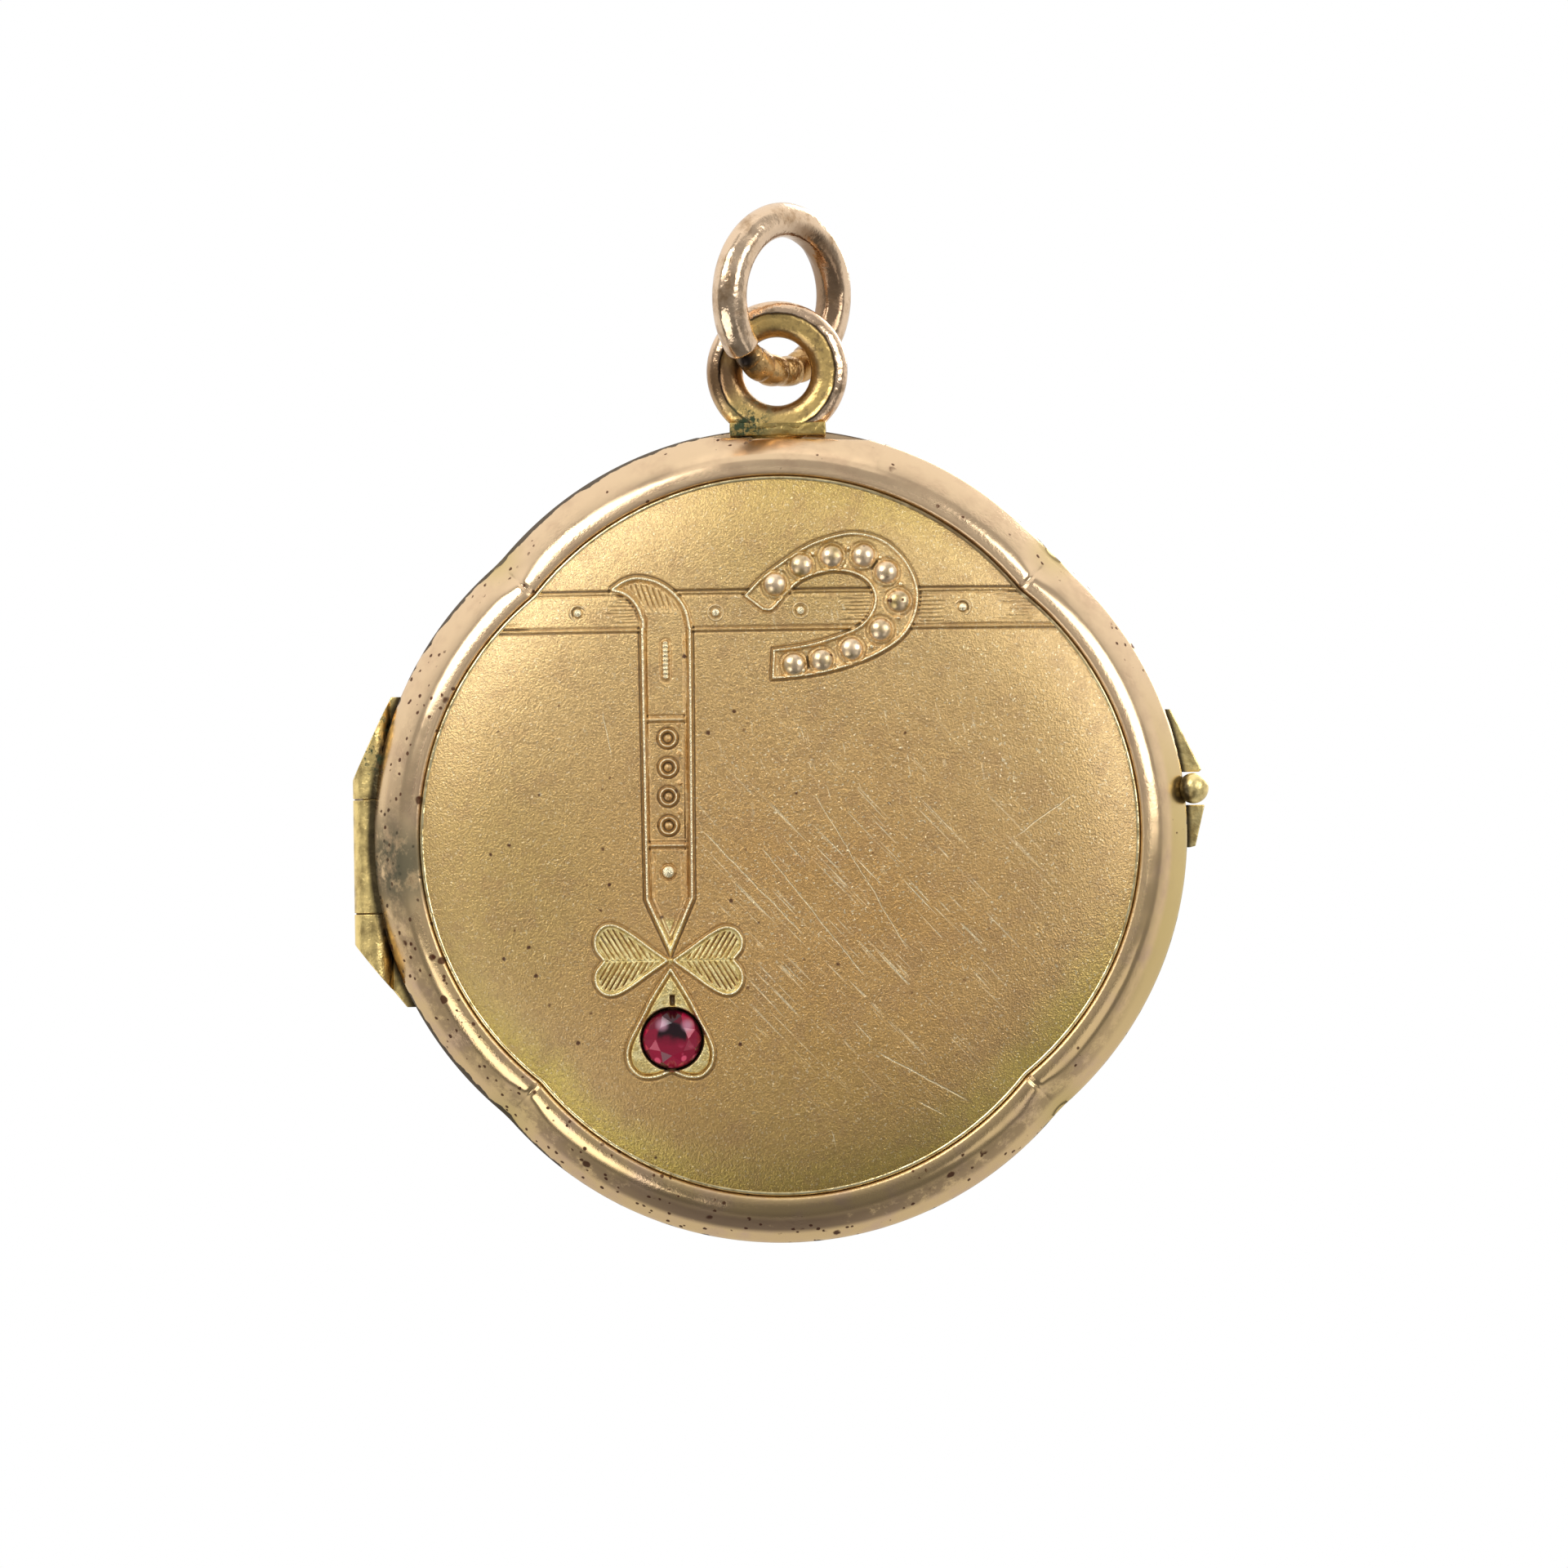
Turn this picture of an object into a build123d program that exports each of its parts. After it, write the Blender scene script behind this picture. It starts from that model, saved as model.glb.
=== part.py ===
"""A four-lobed picture locket: a hinged cover and back, with a bail and a jump ring.

The frame has +Z up along the hanging locket, and the decorated cover faces -Y.
The origin is the centre of the jump ring, where a chain passes through.
All lengths are in millimetres.
"""

from build123d import *

import math
import os

os.makedirs("parts", exist_ok=True)

# Case outline: four equal lobes, each an arc about its own axis
CASE_HALF = 12.45
LOBE_OFFSET = 1.5
LOBE_RADIUS = CASE_HALF - LOBE_OFFSET
SHEET = 0.28
WALL_INSIDE = LOBE_RADIUS - SHEET

# Heights above the seam plane, the same for the cover and for the back
SEAM_GAP = 0.03
WALL_TOP = 0.50
RIM_CROWN = 1.60
PANEL_SEAT = 1.12
PANEL_TOP = 2.40

# Rim and panel, as radii from a lobe's axis
SLOPE_TOP = (10.35, 1.28)
RIM_CROWN_RADIUS = 9.68
RIM_INSIDE = 9.50
PANEL_RADIUS = 9.46
PANEL_SHOULDER = 9.25
PANEL_FLAT = 4.5

# Inside fittings, as radii from the case centre
WELL_RADIUS = 10.0
LIP_INSIDE = 10.15
LIP_OUTSIDE = 10.45
LIP_SLACK = 0.08
LIP_DEPTH = 0.50
BEZEL_RADIUS = 9.95
SIGHT_RADIUS = 8.50
DISC_RADIUS = 9.33
WINDOW_BASE = 0.50
CARD_BASE = 0.72
CARD_TOP = 0.98

# Hinge on the left, with its pin on the seam plane
HINGE_X = -12.48
BARREL_RADIUS = 0.57
RECESS_RADIUS = 0.67
PIN_RADIUS = 0.28
PIN_SLACK = 0.03
KNUCKLE_GAP = 0.02
HINGE_TOP = 4.40
HINGE_UPPER_JOINT = 1.27
HINGE_LOWER_JOINT = -2.22
HINGE_BOTTOM = -5.10
UPPER_TAPER = 2.65
UPPER_TIP_X = -11.85
LOWER_TAPER = 2.00
LOWER_TIP_X = -11.48
WEB_REACH = 1.4
WEB_DEPTH = 0.52
TAPER_REACH = 1.0

# Thumb piece on the right: a ball on the cover between two guards on the back
BALL_RADIUS = 0.47
BALL_X = 12.65
BALL_Z = 1.27
BALL_HEIGHT = 0.46
GUARD_DEPTH = 0.95

# Stone, its hole in the panel and the cup behind it
STONE_X = -3.36
STONE_Z = -6.13
STONE_RADIUS = 0.95
STONE_SIDES = 16
GIRDLE_HEIGHT = 2.22
TABLE_HEIGHT = 2.56
CULET_HEIGHT = 1.62
STONE_HOLE = 0.97
CUP_RADIUS = 1.20
CUP_BASE = 1.40
CUP_TOP = 2.05

# Bail and jump ring
BAIL_RADIUS = 1.60
BAIL_WIDTH = 1.12
BAIL_DEPTH = 0.80
BAIL_ROUNDING = 0.34
BAIL_X = 0.11
BAIL_HEIGHT = 14.20
FOOT_HALF = 1.47
FOOT_BASE = 12.22
FOOT_TOP = 12.66
NOTCH_X = 0.30
NOTCH_LEVEL = 12.12
NOTCH_TILT = -1.5
NOTCH_DEPTH = 1.25
RING_RADIUS = 2.32
RING_WIRE = 0.55
RING_TURN = 47.0
RING_LEAN = 4.5
SOLDER_START = -42.0
SOLDER_ARC = 75.0

# Places that follow from the sizes above
link_centre = Vector(
    -RING_RADIUS * math.sin(math.radians(RING_LEAN)),
    0,
    -RING_RADIUS * math.cos(math.radians(RING_LEAN)),
)
case_centre = link_centre - Vector(BAIL_X, 0, BAIL_HEIGHT)
COVER = Plane(origin=case_centre, x_dir=(1, 0, 0), z_dir=(0, -1, 0))
BACK = Plane(origin=case_centre, x_dir=(-1, 0, 0), z_dir=(0, 1, 0))
SEAM = Plane(origin=case_centre, x_dir=(1, 0, 0), z_dir=(0, 0, 1))
hinge_axis = Axis(case_centre + Vector(HINGE_X, 0, 0), (0, 0, 1))


def four_lobes(section, plane):
    """Turns a section about one lobe's axis, keeps that lobe's quarter and repeats it four times."""
    reach = 2 * CASE_HALF
    with BuildPart() as lobe:
        revolve(section.sketch, axis=Axis((0, LOBE_OFFSET, 0), (0, 0, 1)))
        with BuildSketch():
            Polygon((0, 0), (reach, reach), (-reach, reach), align=None)
        extrude(amount=reach, both=True, mode=Mode.INTERSECT)
    with BuildPart(plane) as ring:
        with PolarLocations(0, 4):
            add(lobe.part)
    return ring.part


def lobe_section():
    """A sketch plane through a lobe's axis: x is the radius and y the height above the seam."""
    return Plane(origin=(0, LOBE_OFFSET, 0), x_dir=(0, 1, 0), z_dir=(1, 0, 0))


def pressed_rim(plane):
    """The polished rim: a side wall that rolls over to a crown and down to the panel."""
    with BuildSketch(lobe_section()) as section:
        with BuildLine():
            Line((WALL_INSIDE, SEAM_GAP), (LOBE_RADIUS, SEAM_GAP))
            Line((LOBE_RADIUS, SEAM_GAP), (LOBE_RADIUS, WALL_TOP))
            Line((LOBE_RADIUS, WALL_TOP), SLOPE_TOP)
            ThreePointArc(SLOPE_TOP, (10.05, 1.515), (RIM_CROWN_RADIUS, RIM_CROWN))
            ThreePointArc((RIM_CROWN_RADIUS, RIM_CROWN), (9.58, 1.575), (RIM_INSIDE, 1.50))
            Line((RIM_INSIDE, 1.50), (RIM_INSIDE, PANEL_SEAT))
            ThreePointArc((RIM_INSIDE, PANEL_SEAT), (10.15, 1.16), (WALL_INSIDE, WALL_TOP))
            Line((WALL_INSIDE, WALL_TOP), (WALL_INSIDE, SEAM_GAP))
        make_face()
    return four_lobes(section, plane)


def domed_panel(plane):
    """The thin panel inside the rim: flat in the middle, with a rolled edge."""
    inner_radius = PANEL_RADIUS - SHEET
    with BuildSketch(lobe_section()) as section:
        with BuildLine():
            Line((0, PANEL_TOP), (PANEL_FLAT, PANEL_TOP))
            TangentArc((PANEL_FLAT, PANEL_TOP), (PANEL_SHOULDER, 1.63), tangent=(1, 0))
            ThreePointArc((PANEL_SHOULDER, 1.63), (9.41, 1.55), (PANEL_RADIUS, 1.40))
            Line((PANEL_RADIUS, 1.40), (PANEL_RADIUS, PANEL_SEAT))
            Line((PANEL_RADIUS, PANEL_SEAT), (inner_radius, PANEL_SEAT))
            Line((inner_radius, PANEL_SEAT), (inner_radius, 1.35))
            Line((inner_radius, 1.35), (PANEL_FLAT, PANEL_TOP - SHEET))
            Line((PANEL_FLAT, PANEL_TOP - SHEET), (0, PANEL_TOP - SHEET))
            Line((0, PANEL_TOP - SHEET), (0, PANEL_TOP))
        make_face()
    return four_lobes(section, plane)


def case_frame(plane):
    """The solid band that stiffens one half, with a round well for the picture."""
    with BuildSketch(lobe_section()) as section:
        with BuildLine():
            Polyline(
                (7.8, 0),
                (WALL_INSIDE, 0),
                (WALL_INSIDE, WALL_TOP - 0.05),
                (10.15, 1.05),
                (7.8, 1.05),
                close=True,
            )
        make_face()
    with BuildPart() as frame:
        add(four_lobes(section, plane))
        with BuildSketch(plane):
            Circle(WELL_RADIUS)
        extrude(amount=CASE_HALF, mode=Mode.SUBTRACT)
    return frame.part


def hinge_recess(part):
    """The part with room for the hinge barrel cut out of it."""
    with BuildPart() as cut:
        add(part)
        with BuildSketch(SEAM.offset(HINGE_BOTTOM)):
            with Locations((HINGE_X, 0)):
                Circle(RECESS_RADIUS)
        extrude(amount=HINGE_TOP - HINGE_BOTTOM, mode=Mode.SUBTRACT)
    return cut.part


def bail_notch(part):
    """The cover's part with a chord filed off its top, to clear the bail's foot as the cover opens."""
    with BuildPart() as filed:
        add(part)
        with BuildSketch(COVER):
            with Locations((NOTCH_X, NOTCH_LEVEL)):
                Rectangle(CASE_HALF, CASE_HALF, rotation=NOTCH_TILT, align=(Align.CENTER, Align.MIN))
        extrude(amount=NOTCH_DEPTH, mode=Mode.SUBTRACT)
    return filed.part


def write(builder, name):
    """Labels a finished piece and writes it as its own STEP file."""
    builder.part.label = name
    export_step(builder.part, f"parts/{name}.step")


# ---- Frames and rims ----

with BuildPart() as front_frame:
    add(bail_notch(hinge_recess(case_frame(COVER))))
    with BuildSketch(COVER):
        Circle(LIP_OUTSIDE + LIP_SLACK)
    extrude(amount=LIP_DEPTH + LIP_SLACK, mode=Mode.SUBTRACT)
write(front_frame, "front_frame")

with BuildPart() as back_frame:
    add(hinge_recess(case_frame(BACK)))
    with BuildSketch(BACK):
        Circle(LIP_OUTSIDE)
        Circle(LIP_INSIDE, mode=Mode.SUBTRACT)
    extrude(amount=LIP_DEPTH, mode=Mode.SUBTRACT)
write(back_frame, "back_frame")

with BuildPart() as front_rim:
    add(bail_notch(hinge_recess(pressed_rim(COVER))))
write(front_rim, "front_rim")

with BuildPart() as back_rim:
    add(hinge_recess(pressed_rim(BACK)))
write(back_rim, "back_rim")

# ---- Catch lip: a springy ring fixed in the back that grips inside the cover ----

with BuildPart() as catch_lip:
    with BuildSketch(BACK.offset(-LIP_DEPTH)):
        Circle(LIP_OUTSIDE)
        Circle(LIP_INSIDE, mode=Mode.SUBTRACT)
    extrude(amount=2 * LIP_DEPTH)
    lip_edges = catch_lip.edges().filter_by(GeomType.CIRCLE).sort_by(Axis.Y)[:2]
    chamfer(lip_edges, 0.08)
write(catch_lip, "catch_lip")

# ---- Panels ----

with BuildPart() as front_panel:
    add(domed_panel(COVER))
    with BuildSketch(COVER):
        with Locations((STONE_X, STONE_Z)):
            Circle(STONE_HOLE)
    extrude(amount=2 * PANEL_TOP, mode=Mode.SUBTRACT)
write(front_panel, "front_panel")

with BuildPart() as back_panel:
    add(domed_panel(BACK))
write(back_panel, "back_panel")

# ---- Picture fittings: a bezel, a clear window and a card in each half ----

for side, plane in (("front", COVER), ("back", BACK)):
    with BuildPart() as bezel:
        with BuildSketch(Plane(origin=case_centre, x_dir=plane.x_dir, z_dir=-plane.y_dir)):
            with BuildLine():
                Line((SIGHT_RADIUS, WINDOW_BASE), (SIGHT_RADIUS, 0.34))
                ThreePointArc((SIGHT_RADIUS, 0.34), (8.72, 0.14), (9.05, 0.08))
                Polyline(
                    (9.05, 0.08),
                    (BEZEL_RADIUS, 0.08),
                    (BEZEL_RADIUS, 1.0),
                    (DISC_RADIUS + 0.02, 1.0),
                    (DISC_RADIUS + 0.02, WINDOW_BASE),
                    (SIGHT_RADIUS, WINDOW_BASE),
                )
            make_face()
        revolve(axis=Axis(case_centre, (0, 1, 0)))
    write(bezel, f"{side}_bezel")

    with BuildPart() as window:
        with BuildSketch(plane.offset(WINDOW_BASE)):
            Circle(DISC_RADIUS)
        extrude(amount=CARD_BASE - WINDOW_BASE)
    write(window, f"{side}_window")

    with BuildPart() as card:
        with BuildSketch(plane.offset(CARD_BASE)):
            Circle(DISC_RADIUS)
        extrude(amount=CARD_TOP - CARD_BASE)
    write(card, f"{side}_card")

# ---- Hinge: two tapered knuckles on the back, one knuckle on the cover, and a pin ----


def knuckle(plane, rim, low, high, bore, taper=0, tip_x=0):
    """A barrel from low to high with a web to the rim.

    A positive taper is the length of a slanted top, and a negative one that of a slanted bottom.
    The slant ends at tip_x, level with the end of the knuckle.
    """
    near = HINGE_X * plane.x_dir.X
    lobe_axis = LOBE_OFFSET * math.copysign(1, near)
    outside = near + math.copysign(BARREL_RADIUS + 0.05, near)
    foot = near - math.copysign(WEB_REACH, near)
    tip_x = tip_x * plane.x_dir.X
    with BuildPart() as piece:
        with BuildSketch(SEAM.offset(low)):
            with Locations((HINGE_X, 0)):
                Circle(BARREL_RADIUS)
        extrude(amount=high - low)
        with BuildSketch(plane.offset(SEAM_GAP)):
            Polygon((near, low), (foot, low), (foot, high), (near, high), align=None)
            with Locations((lobe_axis, 0)):
                Circle(WALL_INSIDE, mode=Mode.SUBTRACT)
        extrude(amount=WEB_DEPTH)
        add(rim, mode=Mode.SUBTRACT)
        if taper:
            tip = high if taper > 0 else low
            with BuildSketch(plane.offset(-TAPER_REACH)):
                Polygon((outside, tip - taper), (tip_x, tip), (tip_x, tip + taper), (outside, tip + taper), align=None)
            extrude(amount=2 * TAPER_REACH, mode=Mode.SUBTRACT)
        with BuildSketch(SEAM.offset(low)):
            with Locations((HINGE_X, 0)):
                Circle(bore)
        extrude(amount=high - low, mode=Mode.SUBTRACT)
    return piece


upper_low = HINGE_UPPER_JOINT + KNUCKLE_GAP
upper_knuckle = knuckle(BACK, back_rim.part, upper_low, HINGE_TOP, PIN_RADIUS, UPPER_TAPER, UPPER_TIP_X)
write(upper_knuckle, "upper_knuckle")
lower_high = HINGE_LOWER_JOINT - KNUCKLE_GAP
lower_knuckle = knuckle(BACK, back_rim.part, HINGE_BOTTOM, lower_high, PIN_RADIUS, -LOWER_TAPER, LOWER_TIP_X)
write(lower_knuckle, "lower_knuckle")
middle_knuckle = knuckle(
    COVER,
    front_rim.part,
    HINGE_LOWER_JOINT + KNUCKLE_GAP,
    HINGE_UPPER_JOINT - KNUCKLE_GAP,
    PIN_RADIUS + PIN_SLACK,
)
write(middle_knuckle, "middle_knuckle")

# The pin stops inside the tapered ends
PIN_TOP = HINGE_TOP - UPPER_TAPER + 0.25
PIN_BOTTOM = HINGE_BOTTOM + LOWER_TAPER - 0.15
with BuildPart() as hinge_pin:
    with BuildSketch(SEAM.offset(PIN_BOTTOM)):
        with Locations((HINGE_X, 0)):
            Circle(PIN_RADIUS)
    extrude(amount=PIN_TOP - PIN_BOTTOM)
write(hinge_pin, "hinge_pin")

# ---- Thumb piece ----

guard_outlines = {
    "upper_thumb_guard": ((11.6, 3.70), (12.0, 3.70), (12.93, 1.84), (12.86, 1.77), (11.9, 1.77)),
    "lower_thumb_guard": ((12.0, 0.76), (13.02, 0.76), (12.72, -0.50), (12.55, -0.54), (12.0, -0.54)),
}
for name, outline in guard_outlines.items():
    with BuildPart() as guard:
        with BuildSketch(BACK.offset(SEAM_GAP)):
            Polygon(*[(-x, z) for x, z in outline], align=None)
            with Locations((-LOBE_OFFSET, 0)):
                Circle(WALL_INSIDE, mode=Mode.SUBTRACT)
        extrude(amount=GUARD_DEPTH)
        add(back_rim.part, mode=Mode.SUBTRACT)
    write(guard, name)

with BuildPart(COVER) as thumb_ball:
    with Locations((BALL_X, BALL_Z, BALL_HEIGHT + SEAM_GAP)):
        Sphere(BALL_RADIUS)
    add(front_rim.part.moved(COVER.location.inverse()), mode=Mode.SUBTRACT)
write(thumb_ball, "thumb_ball")

# ---- Stone and cup ----

with BuildPart() as stone:
    for height, radius in ((TABLE_HEIGHT, 0.52), (CULET_HEIGHT, 0.08)):
        with BuildSketch(COVER.offset(GIRDLE_HEIGHT)):
            with Locations((STONE_X, STONE_Z)):
                RegularPolygon(STONE_RADIUS, STONE_SIDES)
        with BuildSketch(COVER.offset(height)):
            with Locations((STONE_X, STONE_Z)):
                RegularPolygon(radius, STONE_SIDES)
        loft()
write(stone, "stone")

with BuildPart() as stone_cup:
    with BuildSketch(COVER.offset(CUP_BASE)):
        with Locations((STONE_X, STONE_Z)):
            Circle(CUP_RADIUS)
    extrude(amount=CUP_TOP - CUP_BASE)
    add(front_panel.part, mode=Mode.SUBTRACT)
    add(stone.part, mode=Mode.SUBTRACT)
write(stone_cup, "stone_cup")

# ---- Bail and its foot ----

BAIL_SECTION = Plane(origin=link_centre, x_dir=(1, 0, 0), z_dir=(0, 0, 1))
with BuildPart() as bail:
    with BuildSketch(BAIL_SECTION):
        with Locations((BAIL_RADIUS, 0)):
            RectangleRounded(BAIL_WIDTH, BAIL_DEPTH, BAIL_ROUNDING)
    revolve(axis=Axis(link_centre, (0, 1, 0)))
    with BuildSketch(COVER):
        with Locations((0, LOBE_OFFSET)):
            Circle(LOBE_RADIUS)
    extrude(amount=CASE_HALF, both=True, mode=Mode.SUBTRACT)
write(bail, "bail")

with BuildPart() as bail_foot:
    with BuildSketch(COVER.offset(-0.5)):
        with Locations((BAIL_X, FOOT_BASE)):
            Rectangle(2 * FOOT_HALF, FOOT_TOP - FOOT_BASE, align=(Align.CENTER, Align.MIN))
    extrude(amount=0.5 + 0.42)
    add(back_rim.part, mode=Mode.SUBTRACT)
    add(bail.part, mode=Mode.SUBTRACT)
write(bail_foot, "bail_foot")

# ---- Jump ring, soldered shut where it passes through the bail ----

ring_across = Vector(1, 0, 0).rotate(Axis.Z, RING_TURN).rotate(Axis.Y, RING_LEAN)
ring_up = Vector(0, 0, 1).rotate(Axis.Y, RING_LEAN)
ring_normal = ring_across.cross(ring_up)
ring_axis = Axis((0, 0, 0), ring_normal)


def ring_arc(start, sweep):
    """A stretch of the ring's wire: start is the angle from the ring's lowest point."""
    radial = (ring_up * -1).rotate(ring_axis, start)
    with BuildPart() as wire:
        with BuildSketch(Plane(origin=radial * RING_RADIUS, x_dir=radial, z_dir=ring_normal.cross(radial))):
            Circle(RING_WIRE)
        revolve(axis=ring_axis, revolution_arc=sweep)
    return wire


ring_solder = ring_arc(SOLDER_START, SOLDER_ARC)
write(ring_solder, "ring_solder")
jump_ring = ring_arc(SOLDER_START + SOLDER_ARC, 360 - SOLDER_ARC)
write(jump_ring, "jump_ring")
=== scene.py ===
"""The looks of a four-lobed picture locket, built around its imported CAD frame.

Shapes are worked out in millimetres from the centre of the case: x to the right, z up, and h
outward from the seam, towards -Y on the cover and towards +Y on the back.
"""

import math

import bmesh
import bpy
import numpy as np
from mathutils import Matrix, Vector


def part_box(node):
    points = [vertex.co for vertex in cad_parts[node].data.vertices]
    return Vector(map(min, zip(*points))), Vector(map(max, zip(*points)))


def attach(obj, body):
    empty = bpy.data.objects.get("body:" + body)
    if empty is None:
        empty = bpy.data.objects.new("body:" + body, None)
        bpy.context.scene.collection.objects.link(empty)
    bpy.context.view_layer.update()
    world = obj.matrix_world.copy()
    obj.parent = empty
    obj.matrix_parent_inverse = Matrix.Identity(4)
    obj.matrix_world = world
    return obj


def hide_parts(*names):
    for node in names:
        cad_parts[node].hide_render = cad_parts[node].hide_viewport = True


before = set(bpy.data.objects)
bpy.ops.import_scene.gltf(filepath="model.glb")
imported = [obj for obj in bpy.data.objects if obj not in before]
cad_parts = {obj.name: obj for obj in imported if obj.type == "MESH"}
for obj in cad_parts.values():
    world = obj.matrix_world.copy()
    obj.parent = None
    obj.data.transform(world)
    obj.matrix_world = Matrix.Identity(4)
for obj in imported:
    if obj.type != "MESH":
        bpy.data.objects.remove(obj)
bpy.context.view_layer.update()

MM = 0.001
COVER = -1
BACK = 1

# Outline of the case: four arcs about lobe axes that stand a little off its centre
LOBE_OFFSET = 1.5
RIM_OUTSIDE = 10.95
PANEL_RADIUS = 9.46

# Domed panels, a little lower than their CAD solids to leave room for the relief
DOME_TOP = 2.34
DOME_FLAT = 2.0
DOME_EDGE = 1.50

# Bail and jump ring, with the stretch of the ring that is worn down to its brass, in degrees
BAIL_X = 0.11
BAIL_HEIGHT = 14.20
RING_RADIUS = 2.32
RING_WIRE = 0.55
RING_TURN = 47.0
RING_LEAN = 4.5
WEAR_START = -42.0
WEAR_ARC = 75.0

# Stone, a hair smaller than its CAD solid
STONE_X = -3.36
STONE_Z = -6.13
STONE_RADIUS = 0.91
GIRDLE_HEIGHT = 2.20
TABLE_HEIGHT = 2.54

lip_low, lip_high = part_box("catch_lip")
case_centre = (lip_low + lip_high) / (2 * MM)
bail_centre = case_centre + Vector((BAIL_X, 0, BAIL_HEIGHT))


# ---- Meshes ----


def finish_mesh(mesh, name, body, material, replaces=()):
    """Makes an object of a mesh, gives it a material and lets it ride on a CAD body."""
    mesh.name = name
    piece = bpy.data.objects.new(name, mesh)
    bpy.context.scene.collection.objects.link(piece)
    mesh.materials.clear()
    mesh.materials.append(material)
    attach(piece, body)
    if replaces:
        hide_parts(*replaces)
    return piece


def store_relief(mesh, relief):
    """Keeps the height of the ornament at each point of the mesh, for its material."""
    attribute = mesh.attributes.new("relief", "FLOAT", "POINT")
    values = np.zeros(len(mesh.vertices))
    values[:len(relief)] = relief
    attribute.data.foreach_set("value", values)


def build_mesh(points, faces, sharp=40):
    """A smooth-shaded mesh from points in row millimetres, with its normals turned outward."""
    mesh = bpy.data.meshes.new("shape")
    mesh.from_pydata((np.asarray(points, float) * MM).tolist(), [], [list(map(int, f)) for f in faces])
    bm = bmesh.new()
    bm.from_mesh(mesh)
    bmesh.ops.recalc_face_normals(bm, faces=bm.faces)
    bm.to_mesh(mesh)
    bm.free()
    mesh.polygons.foreach_set("use_smooth", [True] * len(mesh.polygons))
    mesh.set_sharp_from_angle(angle=math.radians(sharp))
    return mesh


def on_case(x, z, h, side):
    """Row coordinates, in millimetres, of points at (x, z) and height h on one side of the case."""
    x, z, h = np.broadcast_arrays(x, z, h)
    return np.stack([case_centre.x + x, side * h, case_centre.z + z], axis=-1)


def band_faces(rows, columns, closed_rows):
    """Quads of a grid whose columns wrap round, and whose rows do too if closed_rows."""
    bands = rows if closed_rows else rows - 1
    row, column = np.meshgrid(np.arange(bands), np.arange(columns), indexing="ij")
    next_row = (row + 1) % rows
    next_column = (column + 1) % columns
    corners = [row * columns + column, row * columns + next_column,
               next_row * columns + next_column, next_row * columns + column]
    return np.stack(corners, axis=-1).reshape(-1, 4)


def smooth_max(a, b, blend):
    """The larger of a and b, rounded off where they are within blend of each other."""
    share = np.clip(1 - np.abs(a - b) / np.maximum(blend, 1e-6), 0, 1)
    return np.maximum(a, b) + share * share * blend / 4


def smooth_step(value, low, high):
    """0 below low, 1 above high, and a smooth rise between them."""
    t = np.clip((value - low) / (high - low), 0, 1)
    return t * t * (3 - 2 * t)


def lobe_angles(steps):
    """Directions round the case, closer together near the four notches."""
    quarter = np.sin(np.linspace(-0.5, 0.5, steps, endpoint=False) * math.pi)
    return np.concatenate([k * math.pi / 2 + quarter * math.pi / 4 for k in range(4)])


def outline_radius(angle, lobe_radius, blend):
    """Distance from the case centre to the outline whose lobes have lobe_radius."""
    turn = np.abs((angle + math.pi / 4) % (math.pi / 2) - math.pi / 4)

    def reach(t):
        return LOBE_OFFSET * np.cos(t) + np.sqrt(lobe_radius ** 2 - (LOBE_OFFSET * np.sin(t)) ** 2)

    return smooth_max(reach(turn), reach(math.pi / 2 - turn), blend)


def lobe_distance(x, z):
    """How far a point is from its lobe's axis, smoothed across the diagonals towards the middle."""
    ax, az = np.abs(x), np.abs(z)
    own = np.sqrt(np.minimum(ax, az) ** 2 + (np.maximum(ax, az) - LOBE_OFFSET) ** 2)
    other = np.sqrt((np.minimum(ax, az) - LOBE_OFFSET) ** 2 + np.maximum(ax, az) ** 2)
    blend = 0.03 + 1.2 * smooth_step(PANEL_RADIUS - own, 0.1, 4.0)
    return -smooth_max(-own, -other, blend)


def dome(x, z):
    """Height of the plain domed panel: nearly flat in the middle and turned down at its edge."""
    out = np.clip((lobe_distance(x, z) - DOME_FLAT) / (PANEL_RADIUS - DOME_FLAT), 0, 1)
    return DOME_TOP - (DOME_TOP - DOME_EDGE) * (0.24 * out ** 2 + 0.76 * out ** 6)


def lobed_ring(profile, side, steps=150, blend=0.02, crease=0.0):
    """A ring round the case. The profile is a closed list of (lobe radius, height).

    blend rounds the notches, more so on the outside of the rim, and crease is how deep they cut.
    """
    angle = lobe_angles(steps)
    to_notch = np.abs((angle % (math.pi / 2)) - math.pi / 4)
    rows = []
    for radius, height in profile:
        outside = smooth_step(radius, 10.1, 10.7)
        r = outline_radius(angle, radius, blend + 0.05 * outside)
        cut = (1 - outside) * line(to_notch * r, 0.08, crease)
        if radius < 10.9:
            cut += smooth_step(radius, 9.9, 10.3) * line(to_notch * r, 0.55, 1.6 * crease)
        rows.append(on_case(r * np.sin(angle), r * np.cos(angle), height - cut, side))
    points = np.concatenate(rows)
    return points, band_faces(len(profile), len(angle), True)


def lathe(profile, centre, axis, steps=160, closed=False):
    """Turns (radius, height) points round an axis. An open profile starts and ends on the axis."""
    axis = Vector(axis).normalized()
    across = axis.orthogonal().normalized()
    other = axis.cross(across)
    turn = np.linspace(0, 2 * math.pi, steps, endpoint=False)
    ring = np.outer(np.cos(turn), across) + np.outer(np.sin(turn), other)
    rows = [np.asarray(centre) + np.asarray(axis) * h + ring * max(r, 1e-4) for r, h in profile]
    faces = band_faces(len(profile), steps, closed).tolist()
    if not closed:
        last = (len(profile) - 1) * steps
        faces.append(list(range(steps)))
        faces.append(list(range(last, last + steps)))
    return np.concatenate(rows), faces


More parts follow.
